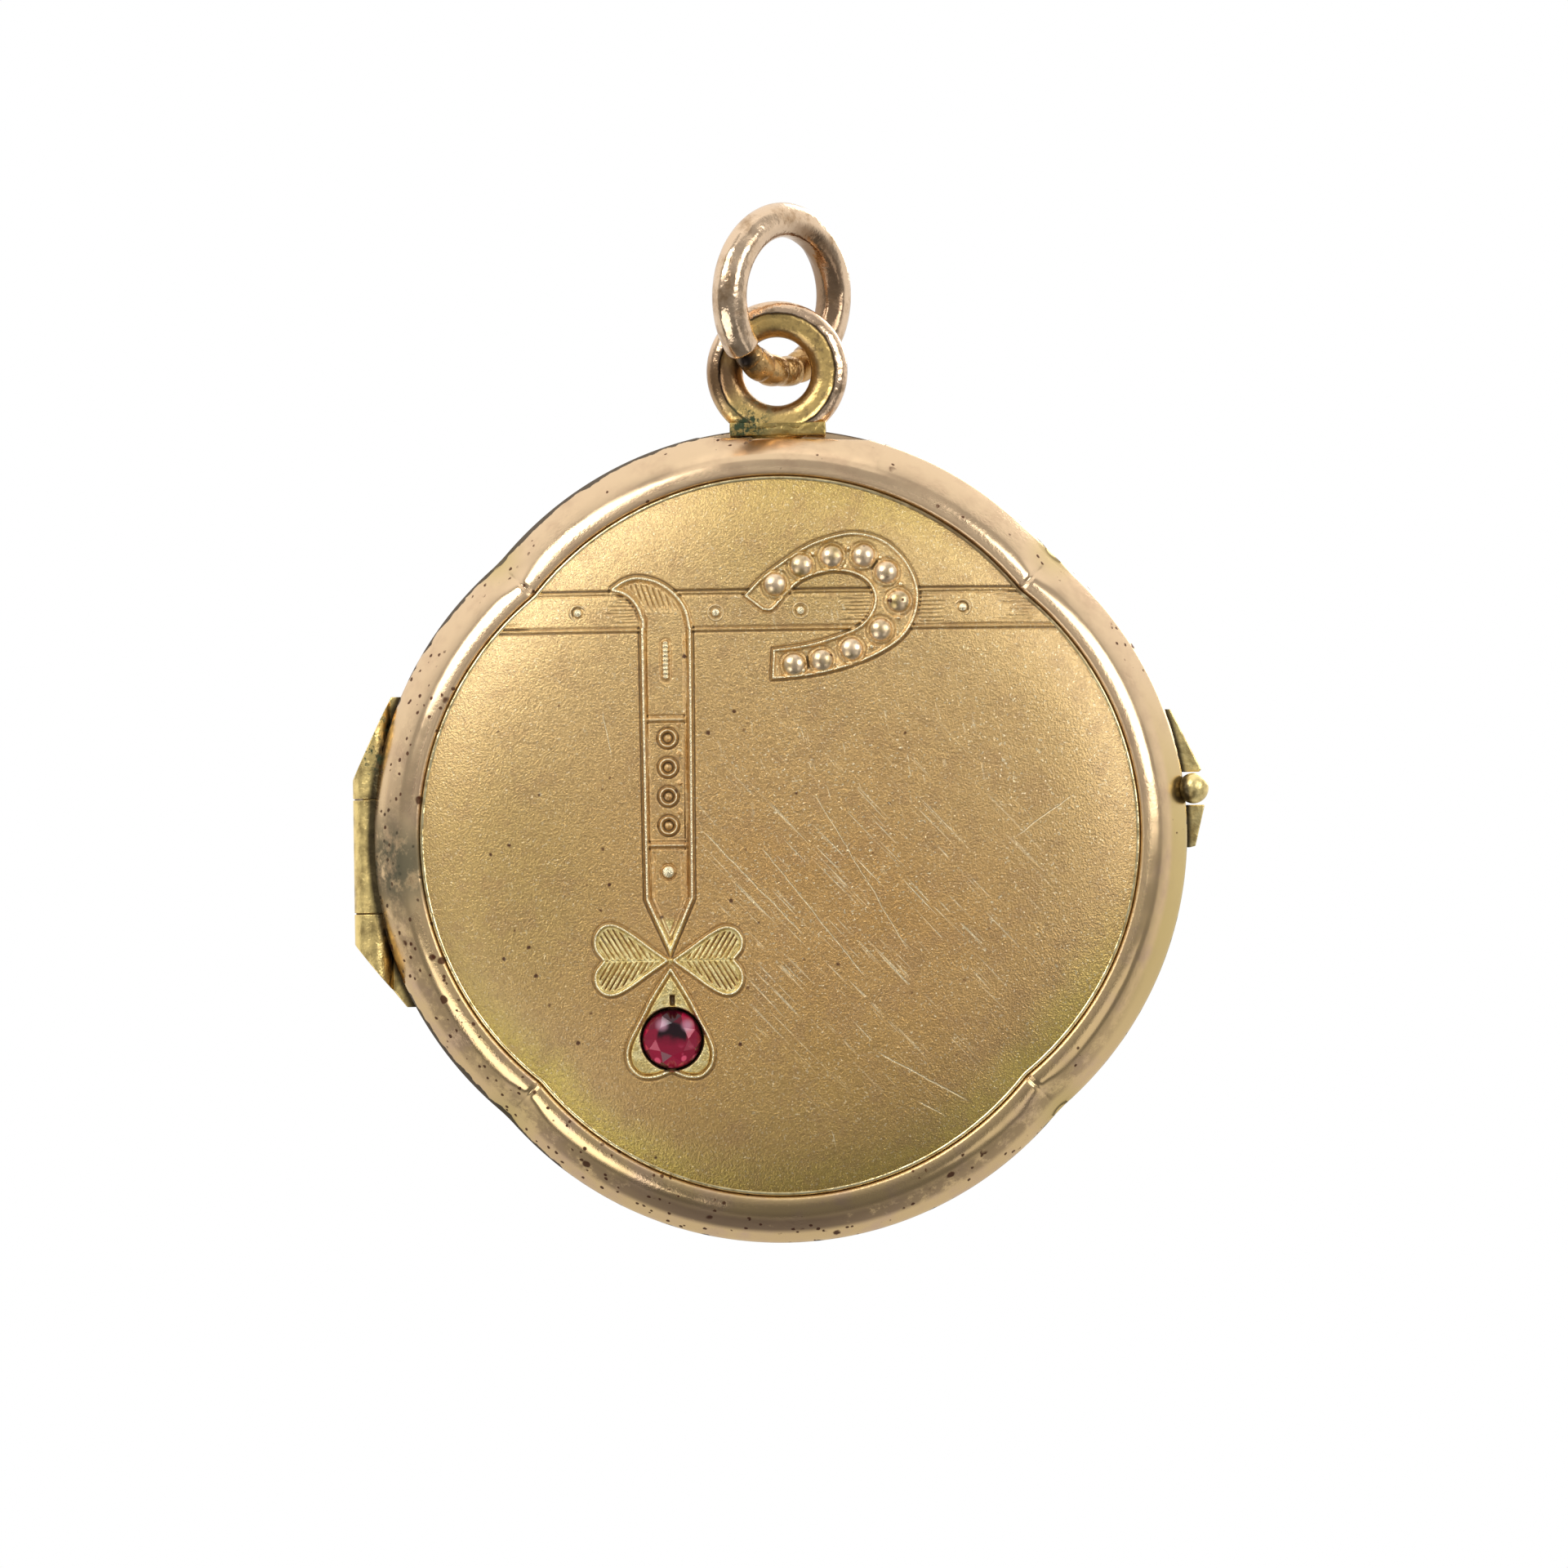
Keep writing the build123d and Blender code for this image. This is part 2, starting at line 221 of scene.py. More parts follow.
def joined(shapes):
    """Several (points, faces) pairs as one."""
    points, faces, start = [], [], 0
    for some_points, some_faces in shapes:
        points.append(np.asarray(some_points))
        faces += [[int(i) + start for i in face] for face in some_faces]
        start += len(some_points)
    return np.concatenate(points), faces


def rounded(node, voxel, smoothing, bumps=0.0):
    """A CAD node's shape with worn, rounded edges, and lumps of that height if it is cast or soldered."""
    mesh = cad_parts[node].data.copy()
    mesh.transform(Matrix.Scale(1 / MM, 4))
    worker = bpy.data.objects.new("worker", mesh)
    bpy.context.scene.collection.objects.link(worker)
    remesh = worker.modifiers.new("remesh", "REMESH")
    remesh.mode = "VOXEL"
    remesh.voxel_size = voxel
    soften = worker.modifiers.new("soften", "SMOOTH")
    soften.factor = 0.5
    soften.iterations = smoothing
    if bumps:
        lumps = bpy.data.textures.new("lumps", "CLOUDS")
        lumps.noise_scale = 0.35
        push = worker.modifiers.new("push", "DISPLACE")
        push.texture = lumps
        push.strength = bumps
        push.mid_level = 0.6
    evaluated = worker.evaluated_get(bpy.context.evaluated_depsgraph_get())
    result = bpy.data.meshes.new_from_object(evaluated)
    result.transform(Matrix.Scale(MM, 4))
    result.polygons.foreach_set("use_smooth", [True] * len(result.polygons))
    bpy.data.objects.remove(worker)
    return result


# ---- Drawing on the cover ----


def curve(points, steps=6):
    """A smooth line through the points."""
    p = np.array(points, float)
    p = np.concatenate([[2 * p[0] - p[1]], p, [2 * p[-1] - p[-2]]])
    t = np.linspace(0, 1, steps, endpoint=False)[:, None]
    spans = []
    for a, b, c, d in zip(p, p[1:], p[2:], p[3:]):
        spans.append(0.5 * (2 * b + (c - a) * t + (2 * a - 5 * b + 4 * c - d) * t ** 2
                            + (3 * b - a - 3 * c + d) * t ** 3))
    return np.concatenate(spans + [p[-2:-1]])


def line_distance(x, z, points, closed=False):
    """Distance to a line through the points. Inside a closed one it is negative."""
    points = np.asarray(points)
    if closed:
        points = np.concatenate([points, points[:1]])
    nearest = np.full(x.shape, 1e6)
    inside = np.zeros(x.shape, bool)
    for (ax, az), (bx, bz) in zip(points, points[1:]):
        dx, dz = bx - ax, bz - az
        t = np.clip(((x - ax) * dx + (z - az) * dz) / (dx * dx + dz * dz + 1e-12), 0, 1)
        nearest = np.minimum(nearest, (x - ax - t * dx) ** 2 + (z - az - t * dz) ** 2)
        if closed and bz != az:
            inside ^= ((az > z) != (bz > z)) & (x < dx * (z - az) / dz + ax)
    return np.where(inside, -np.sqrt(nearest), np.sqrt(nearest))


def line(distance, width, height):
    """A ridge of that height, or a groove if it is negative, along distance 0."""
    return height * np.exp(-((distance / width) ** 2))


def hatch(x, z, start, length, low, high, count, seed):
    """Short engraved strokes along x, from start, shorter or longer at random."""
    rng = np.random.default_rng(seed)
    relief = np.zeros(x.shape)
    for level in np.linspace(low, high, count):
        reach = length * rng.uniform(0.45, 1.0)
        ends = sorted((start, start + reach))
        along = smooth_step(x, ends[0] - 0.05, ends[0] + 0.1) * (1 - smooth_step(x, ends[1] - 0.35, ends[1]))
        relief += along * line(z - level - rng.uniform(-0.02, 0.02), 0.028, -0.035)
    return relief


BELT_TOP = 7.50
BELT_BOTTOM = 6.23
STRAP_X = -3.37
strap_right = curve([(-5.05, 7.60), (-4.65, 7.86), (-4.19, 7.96), (-3.60, 7.82), (-3.10, 7.48),
                     (-2.74, 6.98), (-2.60, 6.40), (-2.58, 5.80), (-2.62, -1.87)])
strap_left = curve([(-4.13, -1.90), (-4.17, 5.90), (-4.14, 6.40), (-4.24, 6.85), (-4.44, 7.18),
                    (-4.70, 7.38), (-5.05, 7.47)])
strap_outline = np.concatenate([strap_right, [(STRAP_X, -3.62)], strap_left])
EYELETS = [3.01 - 0.885 * i for i in range(4)]
STRAP_RIVET = -1.05
BELT_RIVETS = [(-6.05, 6.84), (-1.86, 6.81), (0.72, 6.84), (5.65, 6.87)]

BEADS = [(-0.04, 7.63), (0.76, 8.19), (1.69, 8.45), (2.64, 8.46), (3.34, 7.95),
         (3.70, 7.07), (3.14, 6.21), (2.25, 5.64), (1.35, 5.31), (0.50, 5.19)]
BEAD_RADIUS = 0.42
shoe_outside = curve([(-1.02, 7.30), (-0.45, 7.88), (0.19, 8.36), (1.00, 8.86), (1.88, 9.15), (2.58, 9.19),
                      (3.35, 8.93), (3.98, 8.30), (4.32, 7.45), (4.22, 6.62), (3.80, 5.95),
                      (3.00, 5.43), (2.00, 5.06), (0.90, 4.83), (-0.20, 4.74)])
shoe_inside = curve([(-0.15, 5.68), (0.90, 5.82), (1.84, 6.08), (2.52, 6.38), (2.88, 6.82), (2.95, 7.28),
                     (2.70, 7.72), (2.15, 7.97), (1.41, 7.96), (0.72, 7.70), (0.30, 7.30), (-0.12, 6.86),
                     (-0.42, 6.84)])
shoe_outline = np.concatenate([shoe_outside, shoe_inside])

CLOVER = (-3.38, -3.74)


def heart_leaf(half, length, turn):
    """A heart-shaped leaf that starts at the clover's middle. half lists one side, tip to notch."""
    upper = curve(half)
    lower = upper[::-1] * (1, -1.06)
    shape = np.concatenate([upper, lower]) * length
    c, s = math.cos(math.radians(turn)), math.sin(math.radians(turn))
    return shape @ np.array([[c, s], [-s, c]]) + CLOVER


LEAF_HALF = [(0.03, 0.02), (0.25, 0.17), (0.52, 0.36), (0.72, 0.455), (0.88, 0.43), (0.98, 0.30),
             (0.975, 0.14), (0.87, 0.0)]
STONE_LEAF_HALF = [(0.06, 0.01), (0.30, 0.155), (0.48, 0.245), (0.66, 0.335), (0.78, 0.365), (0.90, 0.34),
                   (0.985, 0.25), (0.99, 0.13), (0.94, 0.0)]
left_leaf = heart_leaf(LEAF_HALF, 2.36, 180)
right_leaf = heart_leaf(LEAF_HALF, 2.26, 0)
stone_leaf = heart_leaf(STONE_LEAF_HALF, 3.62, -90)


def belt(x, z):
    """The strap that runs across the cover, with a double line along each edge and shaded ends."""
    raised = smooth_step(z, BELT_BOTTOM, BELT_BOTTOM + 0.1) * (1 - smooth_step(z, BELT_TOP - 0.1, BELT_TOP))
    relief = 0.015 * raised
    for level, depth in ((BELT_TOP, -0.045), (BELT_TOP - 0.07, 0.03), (BELT_TOP - 0.15, -0.03),
                         (BELT_BOTTOM + 0.14, -0.04), (BELT_BOTTOM + 0.07, 0.03), (BELT_BOTTOM, -0.03)):
        relief += line(z - level, 0.034, depth)
    shades = ((-4.10, -1.20, 6.50, 7.22, 8), (-9.0, 1.7, 6.28, 6.62, 4), (2.95, -1.15, 6.42, 7.25, 9),
              (4.25, 1.0, 6.45, 7.30, 8), (8.0, -1.5, 6.50, 7.34, 9))
    for seed, (start, length, low, high, count) in enumerate(shades, 1):
        relief += hatch(x, z, start, length, low, high, count, seed)
    return relief


def strap(x, z, relief):
    """The strap that folds over the belt and hangs down: edge beads, slot, eyelets, rivet and point."""
    d = line_distance(x, z, strap_outline, closed=True)
    inside = smooth_step(-d, -0.02, 0.05)
    straight = 1 - smooth_step(z, 6.0, 6.6)
    own = 0.03 + line(d + 0.07, 0.055, 0.07) + line(d + 0.185, 0.026, -0.05)
    own += straight * smooth_step(x, STRAP_X, STRAP_X + 0.1) * line(d + 0.26, 0.026, -0.035)
    fold = smooth_step(z, 6.75, 7.1) * smooth_step(-d, 0.18, 0.3)
    own -= 0.06 * fold * (0.5 + 0.5 * np.cos((x + 0.35 * z) * 2 * math.pi / 0.16)) ** 3
    # Slot with ribs
    slot = np.hypot(x + 3.40, np.maximum(np.abs(z - 5.375) - 0.50, 0))
    own += line(slot - 0.16, 0.03, -0.035) + 0.07 * smooth_step(-slot, -0.12, -0.06)
    own += 0.022 * np.cos(z * 2 * math.pi / 0.135) * smooth_step(-slot, -0.14, -0.08)
    # Cross bars above and below the eyelets, and the sunk panel behind them
    within = smooth_step(x, -4.02, -3.96) * (1 - smooth_step(x, -2.84, -2.78))
    for level in (3.58, -0.24):
        own += within * (line(z - level, 0.05, 0.05) + line(np.abs(z - level) - 0.11, 0.03, -0.04))
    panel = np.maximum(np.abs(x + 3.39) - 0.50, np.abs(z - 1.68) - 1.72)
    own += line(panel, 0.03, -0.04) - 0.03 * smooth_step(-panel, 0.0, 0.06)
    for level in EYELETS:
        r = np.hypot(x - STRAP_X, z - level)
        own += line(r - 0.33, 0.03, -0.04) + line(r - 0.245, 0.055, 0.085) + line(r - 0.15, 0.03, -0.05)
        own += line(r, 0.07, 0.05)
        wedge = np.maximum(np.abs(x + 3.02) * 1.6 + np.abs(z - level - 0.40), 0)
        own += line(wedge, 0.10, 0.07)
    rivet = np.hypot(x + 3.40, z - STRAP_RIVET)
    own += 0.13 * np.sqrt(np.clip(1 - (rivet / 0.2) ** 2, 0, 1)) + line(rivet - 0.235, 0.03, -0.04)
    # Inner line of the pointed end
    point = [(-2.98, -0.50), (-2.98, -1.82), (-3.38, -2.95), (-3.82, -1.85), (-3.82, -0.50)]
    own += line(line_distance(x, z, point), 0.03, -0.035)
    return relief * (1 - inside) + own * inside + line(d - 0.04, 0.028, -0.035)


def horseshoe(x, z, relief):
    """The raised horseshoe: a fine ridge round a channel with a collar for each bead."""
    d = line_distance(x, z, shoe_outline, closed=True)
    inside = smooth_step(-d, -0.02, 0.04)
    own = 0.055 + line(d + 0.05, 0.04, 0.055) - 0.035 * smooth_step(-d, 0.09, 0.15)
    for (ax, az), (bx, bz) in zip(BEADS, BEADS[1:]):
        mx, mz = (ax + bx) / 2, (az + bz) / 2
        ox, oz = mx - 1.9, mz - 6.9
        reach = math.hypot(ox, oz)
        grain = np.hypot(x - mx - 0.27 * ox / reach, z - mz - 0.27 * oz / reach)
        own += line(grain, 0.085, 0.085)
    for bx, bz in BEADS:
        r = np.hypot(x - bx, z - bz)
        own += line(r - BEAD_RADIUS - 0.02, 0.035, -0.045)
    return relief * (1 - inside) + own * inside + line(d - 0.04, 0.028, -0.03)


def hatched_leaf(x, z, relief, outline, side):
    """A clover leaf with a raised edge, a midrib and slanted strokes on both sides of it."""
    d = line_distance(x, z, outline, closed=True)
    inside = smooth_step(-d, -0.02, 0.04)
    along = side * (x - CLOVER[0])
    across = z - CLOVER[1]
    own = 0.06 + line(d + 0.05, 0.045, 0.05) + line(d + 0.13, 0.028, -0.05)
    own -= 0.05 * np.abs(np.clip(across, -0.6, 0.6)) * smooth_step(-d, 0.12, 0.2)
    strokes = 0.5 + 0.5 * np.cos((along * 0.85 - np.abs(across) * 0.52) * 2 * math.pi / 0.14)
    own -= 0.065 * strokes ** 3 * smooth_step(-d, 0.15, 0.2) * smooth_step(np.abs(across), 0.02, 0.06)
    own += line(across, 0.025, -0.03) * smooth_step(along, 0.1, 0.4)
    return relief * (1 - inside) + own * inside + line(d - 0.04, 0.03, -0.025)


def clover(x, z, relief):
    """Two hatched leaves, and a third that opens downward and holds the stone."""
    d = line_distance(x, z, stone_leaf, closed=True)
    inside = smooth_step(-d, -0.02, 0.04)
    own = 0.05 + line(d + 0.05, 0.045, 0.06) + line(d + 0.14, 0.03, -0.07)
    slit = np.maximum(np.abs(x + 3.34) - 0.05, np.abs(z + 4.95) - 0.13)
    own -= 0.16 * smooth_step(-slit, -0.05, 0.02)
    relief = relief * (1 - inside) + own * inside + line(d - 0.04, 0.03, -0.025)
    relief = hatched_leaf(x, z, relief, left_leaf, -1)
    relief = hatched_leaf(x, z, relief, right_leaf, 1)
    knot = np.hypot(x - CLOVER[0], z - CLOVER[1])
    return relief + line(knot, 0.09, 0.06)


def stone_seat(x, z, height):
    """Sinks a cone for the stone, with a dark ring round it and two small grains that hold it."""
    r = np.hypot(x - STONE_X, z - STONE_Z)
    cone = GIRDLE_HEIGHT - 0.10 - 0.60 * np.clip((STONE_RADIUS - r) / STONE_RADIUS, 0, 1)
    sunk = 1 - smooth_step(r, STONE_RADIUS + 0.02, STONE_RADIUS + 0.08)
    height = height * (1 - sunk) + cone * sunk
    for gx, gz in ((-3.33, STONE_Z + 0.97), (-3.39, STONE_Z - 0.97)):
        height = height + line(np.hypot(x - gx, z - gz), 0.085, 0.17)
    return height


def ornament(x, z):
    """The stamped and engraved relief of the cover."""
    relief = belt(x, z)
    relief = strap(x, z, relief)
    relief = horseshoe(x, z, relief)
    return clover(x, z, relief)


def cover_height(x, z):
    """Height of the finished cover panel above the seam."""
    return stone_seat(x, z, dome(x, z) + ornament(x, z))


def drawing(x, z):
    """The relief that the material sees: the ornament, and a deep dip round the stone that the material
    darkens as painted shade in the gap.
    """
    r = np.hypot(x - STONE_X, z - STONE_Z)
    return ornament(x, z) - 0.3 * smooth_step(r, STONE_RADIUS + 0.07, STONE_RADIUS + 0.02)


def height_field(xs, zs, keep, height, floor, side, snap_radius=None, drawing=None):
    """A closed block with a relief on top, over the cells of a grid whose centres keep() accepts.

    With snap_radius its outer edge is moved onto the lobed outline of that radius. drawing is the
    part of the height that is ornament.
    """
    x, z = np.meshgrid(xs, zs, indexing="ij")
    wanted = keep((x[1:, 1:] + x[:-1, :-1]) / 2, (z[1:, 1:] + z[:-1, :-1]) / 2)
    number = np.arange(x.size).reshape(x.shape)
    corners = [number[:-1, :-1], number[1:, :-1], number[1:, 1:], number[:-1, 1:]]
    quads = np.stack([c[wanted] for c in corners], axis=-1)
    used, where, uses = np.unique(quads, return_inverse=True, return_counts=True)
    quads = where.reshape(quads.shape)
    px, pz = x.ravel()[used], z.ravel()[used]
    if snap_radius:
        edge = uses < 4
        angle = np.arctan2(px[edge], pz[edge])
        reach = outline_radius(angle, snap_radius, 0.02)
        px[edge], pz[edge] = reach * np.sin(angle), reach * np.cos(angle)
    points = on_case(px, pz, height(px, pz), side)
    mesh = bpy.data.meshes.new("shape")
    mesh.from_pydata((points * MM).tolist(), [], quads.tolist())
    bm = bmesh.new()
    bm.from_mesh(mesh)
    rim = [e for e in bm.edges if e.is_boundary]
    wall = bmesh.ops.extrude_edge_only(bm, edges=rim)["geom"]
    for v in (g for g in wall if isinstance(g, bmesh.types.BMVert)):
        v.co.y = side * floor * MM
    bmesh.ops.holes_fill(bm, edges=[g for g in wall if isinstance(g, bmesh.types.BMEdge)], sides=0)
    bmesh.ops.recalc_face_normals(bm, faces=bm.faces)
    bm.to_mesh(mesh)
    bm.free()
    mesh.polygons.foreach_set("use_smooth", [True] * len(mesh.polygons))
    mesh.set_sharp_from_angle(angle=math.radians(75))
    if drawing:
        store_relief(mesh, drawing(px, pz))
    return mesh


def steps_between(*stops):
    """Grid lines from stop to stop: (place, step after it), ..., last place."""
    lines = []
    for (start, step), end in zip(stops[:-1], [s[0] if isinstance(s, tuple) else s for s in stops[1:]]):
        lines.append(np.linspace(start, end, max(2, round((end - start) / step)), endpoint=False))
    return np.concatenate(lines + [[stops[-1]]])


# ---- Materials ----


class Surface:
    """A Principled material whose patterns are laid out in millimetres of the row frame.

    tint, roughen and bump lay one pattern over another in color, rough and normal.
    """

    def __init__(self, name, **sockets):
        self.material = bpy.data.materials.new(name)
        self.material.use_nodes = True
        self.tree = self.material.node_tree
        self.shader = self.tree.nodes["Principled BSDF"]
        for socket, value in sockets.items():
            self.shader.inputs[socket.replace("_", " ")].default_value = value
        coordinates = self.node("ShaderNodeTexCoord")
        scaled = self.node("ShaderNodeVectorMath", operation="SCALE")
        scaled.inputs["Scale"].default_value = 1 / MM
        self.link(coordinates.outputs["Object"], scaled.inputs[0])
        self.mm = scaled.outputs[0]
        self.color = self.rough = self.normal = None

    def node(self, kind, **settings):
        made = self.tree.nodes.new(kind)
        for setting, value in settings.items():
            setattr(made, setting, value)
        return made

    def link(self, output, socket):
        if hasattr(output, "is_output"):
            self.tree.links.new(output, socket)
        else:
            socket.default_value = output

    def stretched(self, scale, turn=0.0):
        """Coordinates turned about Y by an angle in degrees and then stretched."""
        mapping = self.node("ShaderNodeMapping", vector_type="POINT")
        mapping.inputs["Rotation"].default_value = (0, math.radians(turn), 0)
        self.link(self.mm, mapping.inputs["Vector"])
        longer = self.node("ShaderNodeVectorMath", operation="MULTIPLY")
        self.link(mapping.outputs[0], longer.inputs[0])
        longer.inputs[1].default_value = scale
        return longer.outputs[0]

    def noise(self, size, detail=2.0, roughness=0.5, vector=None):
        """Noise with features of about that size in millimetres."""
        made = self.node("ShaderNodeTexNoise")
        made.inputs["Scale"].default_value = 1 / size
        made.inputs["Detail"].default_value = detail
        made.inputs["Roughness"].default_value = roughness
        self.link(vector or self.mm, made.inputs["Vector"])
        return made.outputs["Fac"]

    def cells(self, size):
        """Distance to the nearest of scattered points, in cells of that size in millimetres."""
        made = self.node("ShaderNodeTexVoronoi")
        made.inputs["Scale"].default_value = 1 / size
        self.link(self.mm, made.inputs["Vector"])
        return made.outputs["Distance"]

    def ramp(self, value, low, high):
        """0 where value is below low and 1 above high, or the other way round if low is higher."""
        made = self.node("ShaderNodeMapRange", interpolation_type="SMOOTHSTEP")
        self.link(value, made.inputs["Value"])
        made.inputs["From Min"].default_value = low
        made.inputs["From Max"].default_value = high
        return made.outputs["Result"]

    def patches(self, low, high, size, detail=2.0, roughness=0.5, vector=None):
        """Soft-edged patches: a ramp of noise."""
        return self.ramp(self.noise(size, detail, roughness, vector), low, high)

    def math(self, operation, a, b=0.0):
        made = self.node("ShaderNodeMath", operation=operation)
        self.link(a, made.inputs[0])
        self.link(b, made.inputs[1])
        return made.outputs[0]

    def plus(self, a, b):
        return self.math("ADD", a, b)

    def minus(self, a, b):
        return self.math("SUBTRACT", a, b)

    def times(self, a, b):
        return self.math("MULTIPLY", a, b)

    def larger(self, a, b):
        return self.math("MAXIMUM", a, b)

    def wavy(self, value, size, detail, amount):
        """The value with noise added to it, from half of amount below to half of it above."""
        return self.plus(value, self.times(self.minus(self.noise(size, detail), 0.5), amount))

    def mix(self, factor, a, b):
        """Colour a where factor is 0 and colour b where it is 1."""
        made = self.node("ShaderNodeMix", data_type="RGBA")
        self.link(factor, made.inputs["Factor"])
        for value, socket in ((a, made.inputs[6]), (b, made.inputs[7])):
            self.link(value if hasattr(value, "is_output") else (*value, 1), socket)
        return made.outputs[2]

    def between(self, factor, a, b):
        """Number a where factor is 0 and number b where it is 1."""
        made = self.node("ShaderNodeMix", data_type="FLOAT")
        self.link(factor, made.inputs["Factor"])
        self.link(a, made.inputs[2])
        self.link(b, made.inputs[3])
        return made.outputs[0]

    def tint(self, color, mask, strength=None):
        """Lays a colour over those so far where mask is 1, at that strength."""
        if strength is not None:
            mask = self.times(mask, strength)
        self.color = self.mix(mask, self.color, color)

    def roughen(self, roughness, mask):
        """Changes the roughness where mask is 1."""
        self.rough = self.between(mask, self.rough, roughness)

    def bump(self, height, depth):
        """Adds a bump whose full height is depth millimetres."""
        made = self.node("ShaderNodeBump")
        made.inputs["Distance"].default_value = depth * MM
        made.inputs["Strength"].default_value = 1.0
        self.link(height, made.inputs["Height"])
        if self.normal:
            self.link(self.normal, made.inputs["Normal"])
        self.normal = made.outputs[0]

    def axis(self, name):
        """One coordinate, in millimetres from the case centre."""
        parts = self.node("ShaderNodeSeparateXYZ")
        self.link(self.mm, parts.inputs[0])
        return self.minus(parts.outputs[name], getattr(case_centre, name.lower()))

    def lobe_radius(self):
        """Distance in millimetres from the axis of the nearest lobe."""
        x = self.math("ABSOLUTE", self.axis("X"))
        z = self.math("ABSOLUTE", self.axis("Z"))
        along = self.minus(self.larger(x, z), LOBE_OFFSET)
        across = self.math("MINIMUM", x, z)
        return self.math("SQRT", self.plus(self.times(along, along), self.times(across, across)))

    def attribute(self, name):
        """A number stored at each point of the mesh."""
        return self.node("ShaderNodeAttribute", attribute_name=name).outputs["Fac"]

    def distance(self, x, z):
        """Distance in millimetres from a place on the case, seen from the front."""
        made = self.node("ShaderNodeVectorMath", operation="DISTANCE")
        flat = self.node("ShaderNodeVectorMath", operation="MULTIPLY")
        self.link(self.mm, flat.inputs[0])
        flat.inputs[1].default_value = (1, 0, 1)
        self.link(flat.outputs[0], made.inputs[0])
        made.inputs[1].default_value = (case_centre.x + x, 0, case_centre.z + z)
        return made.outputs["Value"]

    def near(self, x, z, reach):
        """1 at a place on the case, fading to 0 at reach millimetres from it."""
        return self.ramp(self.distance(x, z), reach, 0.15 * reach)

    def scratch(self, start, end, width):
        """1 on a scratch between two places on the case, in millimetres."""
        (ax, az), (bx, bz) = start, end
        length = math.hypot(bx - ax, bz - az)
        ux, uz = (bx - ax) / length, (bz - az) / length
        x, z = self.minus(self.axis("X"), ax), self.minus(self.axis("Z"), az)
        along = self.plus(self.times(x, ux), self.times(z, uz))
        across = self.minus(self.times(x, -uz), self.times(z, -ux))
        inside = self.ramp(self.math("ABSOLUTE", self.wavy(across, 0.5, 2.0, 0.10)), width, width / 3)
        ends = self.times(self.ramp(along, 0, 0.3), self.ramp(along, length, length - 0.5))
        return self.times(inside, ends)

    def finish(self, metallic=None):
        """Joins the patterns to the shader and gives the material."""
        for value, socket in ((self.color, "Base Color"), (self.rough, "Roughness"),
                              (metallic, "Metallic"), (self.normal, "Normal")):
            if value is not None:
                self.link(value, self.shader.inputs[socket])
        return self.material


ROSE = (0.83, 0.60, 0.37)
# Rose of the rim's lower part: a painted shade of ROSE
ROSE_SHADED = (0.80, 0.57, 0.29)
ROSE_BROWN = (0.24, 0.16, 0.10)
RUST = (0.10, 0.035, 0.018)
DARK = (0.030, 0.022, 0.018)
YELLOW = (0.78, 0.54, 0.235)
EDGE_OLIVE = (0.72, 0.54, 0.12)
BRIGHT = (1.0, 0.88, 0.58)
OLIVE_GOLD = (0.50, 0.36, 0.14)
VERDIGRIS = (0.030, 0.050, 0.016)
GREY_GREEN = (0.105, 0.10, 0.06)


def tarnished(s, size, radius, amount, middle):
    """Adds dark red-brown tarnish specks, thickest near a place on the case, and gives their mask."""
    speck = s.ramp(s.plus(s.cells(size), s.times(s.noise(size / 3), 0.25)), radius + 0.14, radius + 0.06)
    near = s.between(s.near(*middle, 19), -0.16, 0.10)
    patchy = s.ramp(s.plus(s.noise(1.3, 3), near), 0.62 - amount, 0.66 - amount)
    mask = s.times(speck, patchy)
    s.tint(RUST, mask, 0.9)
    return mask


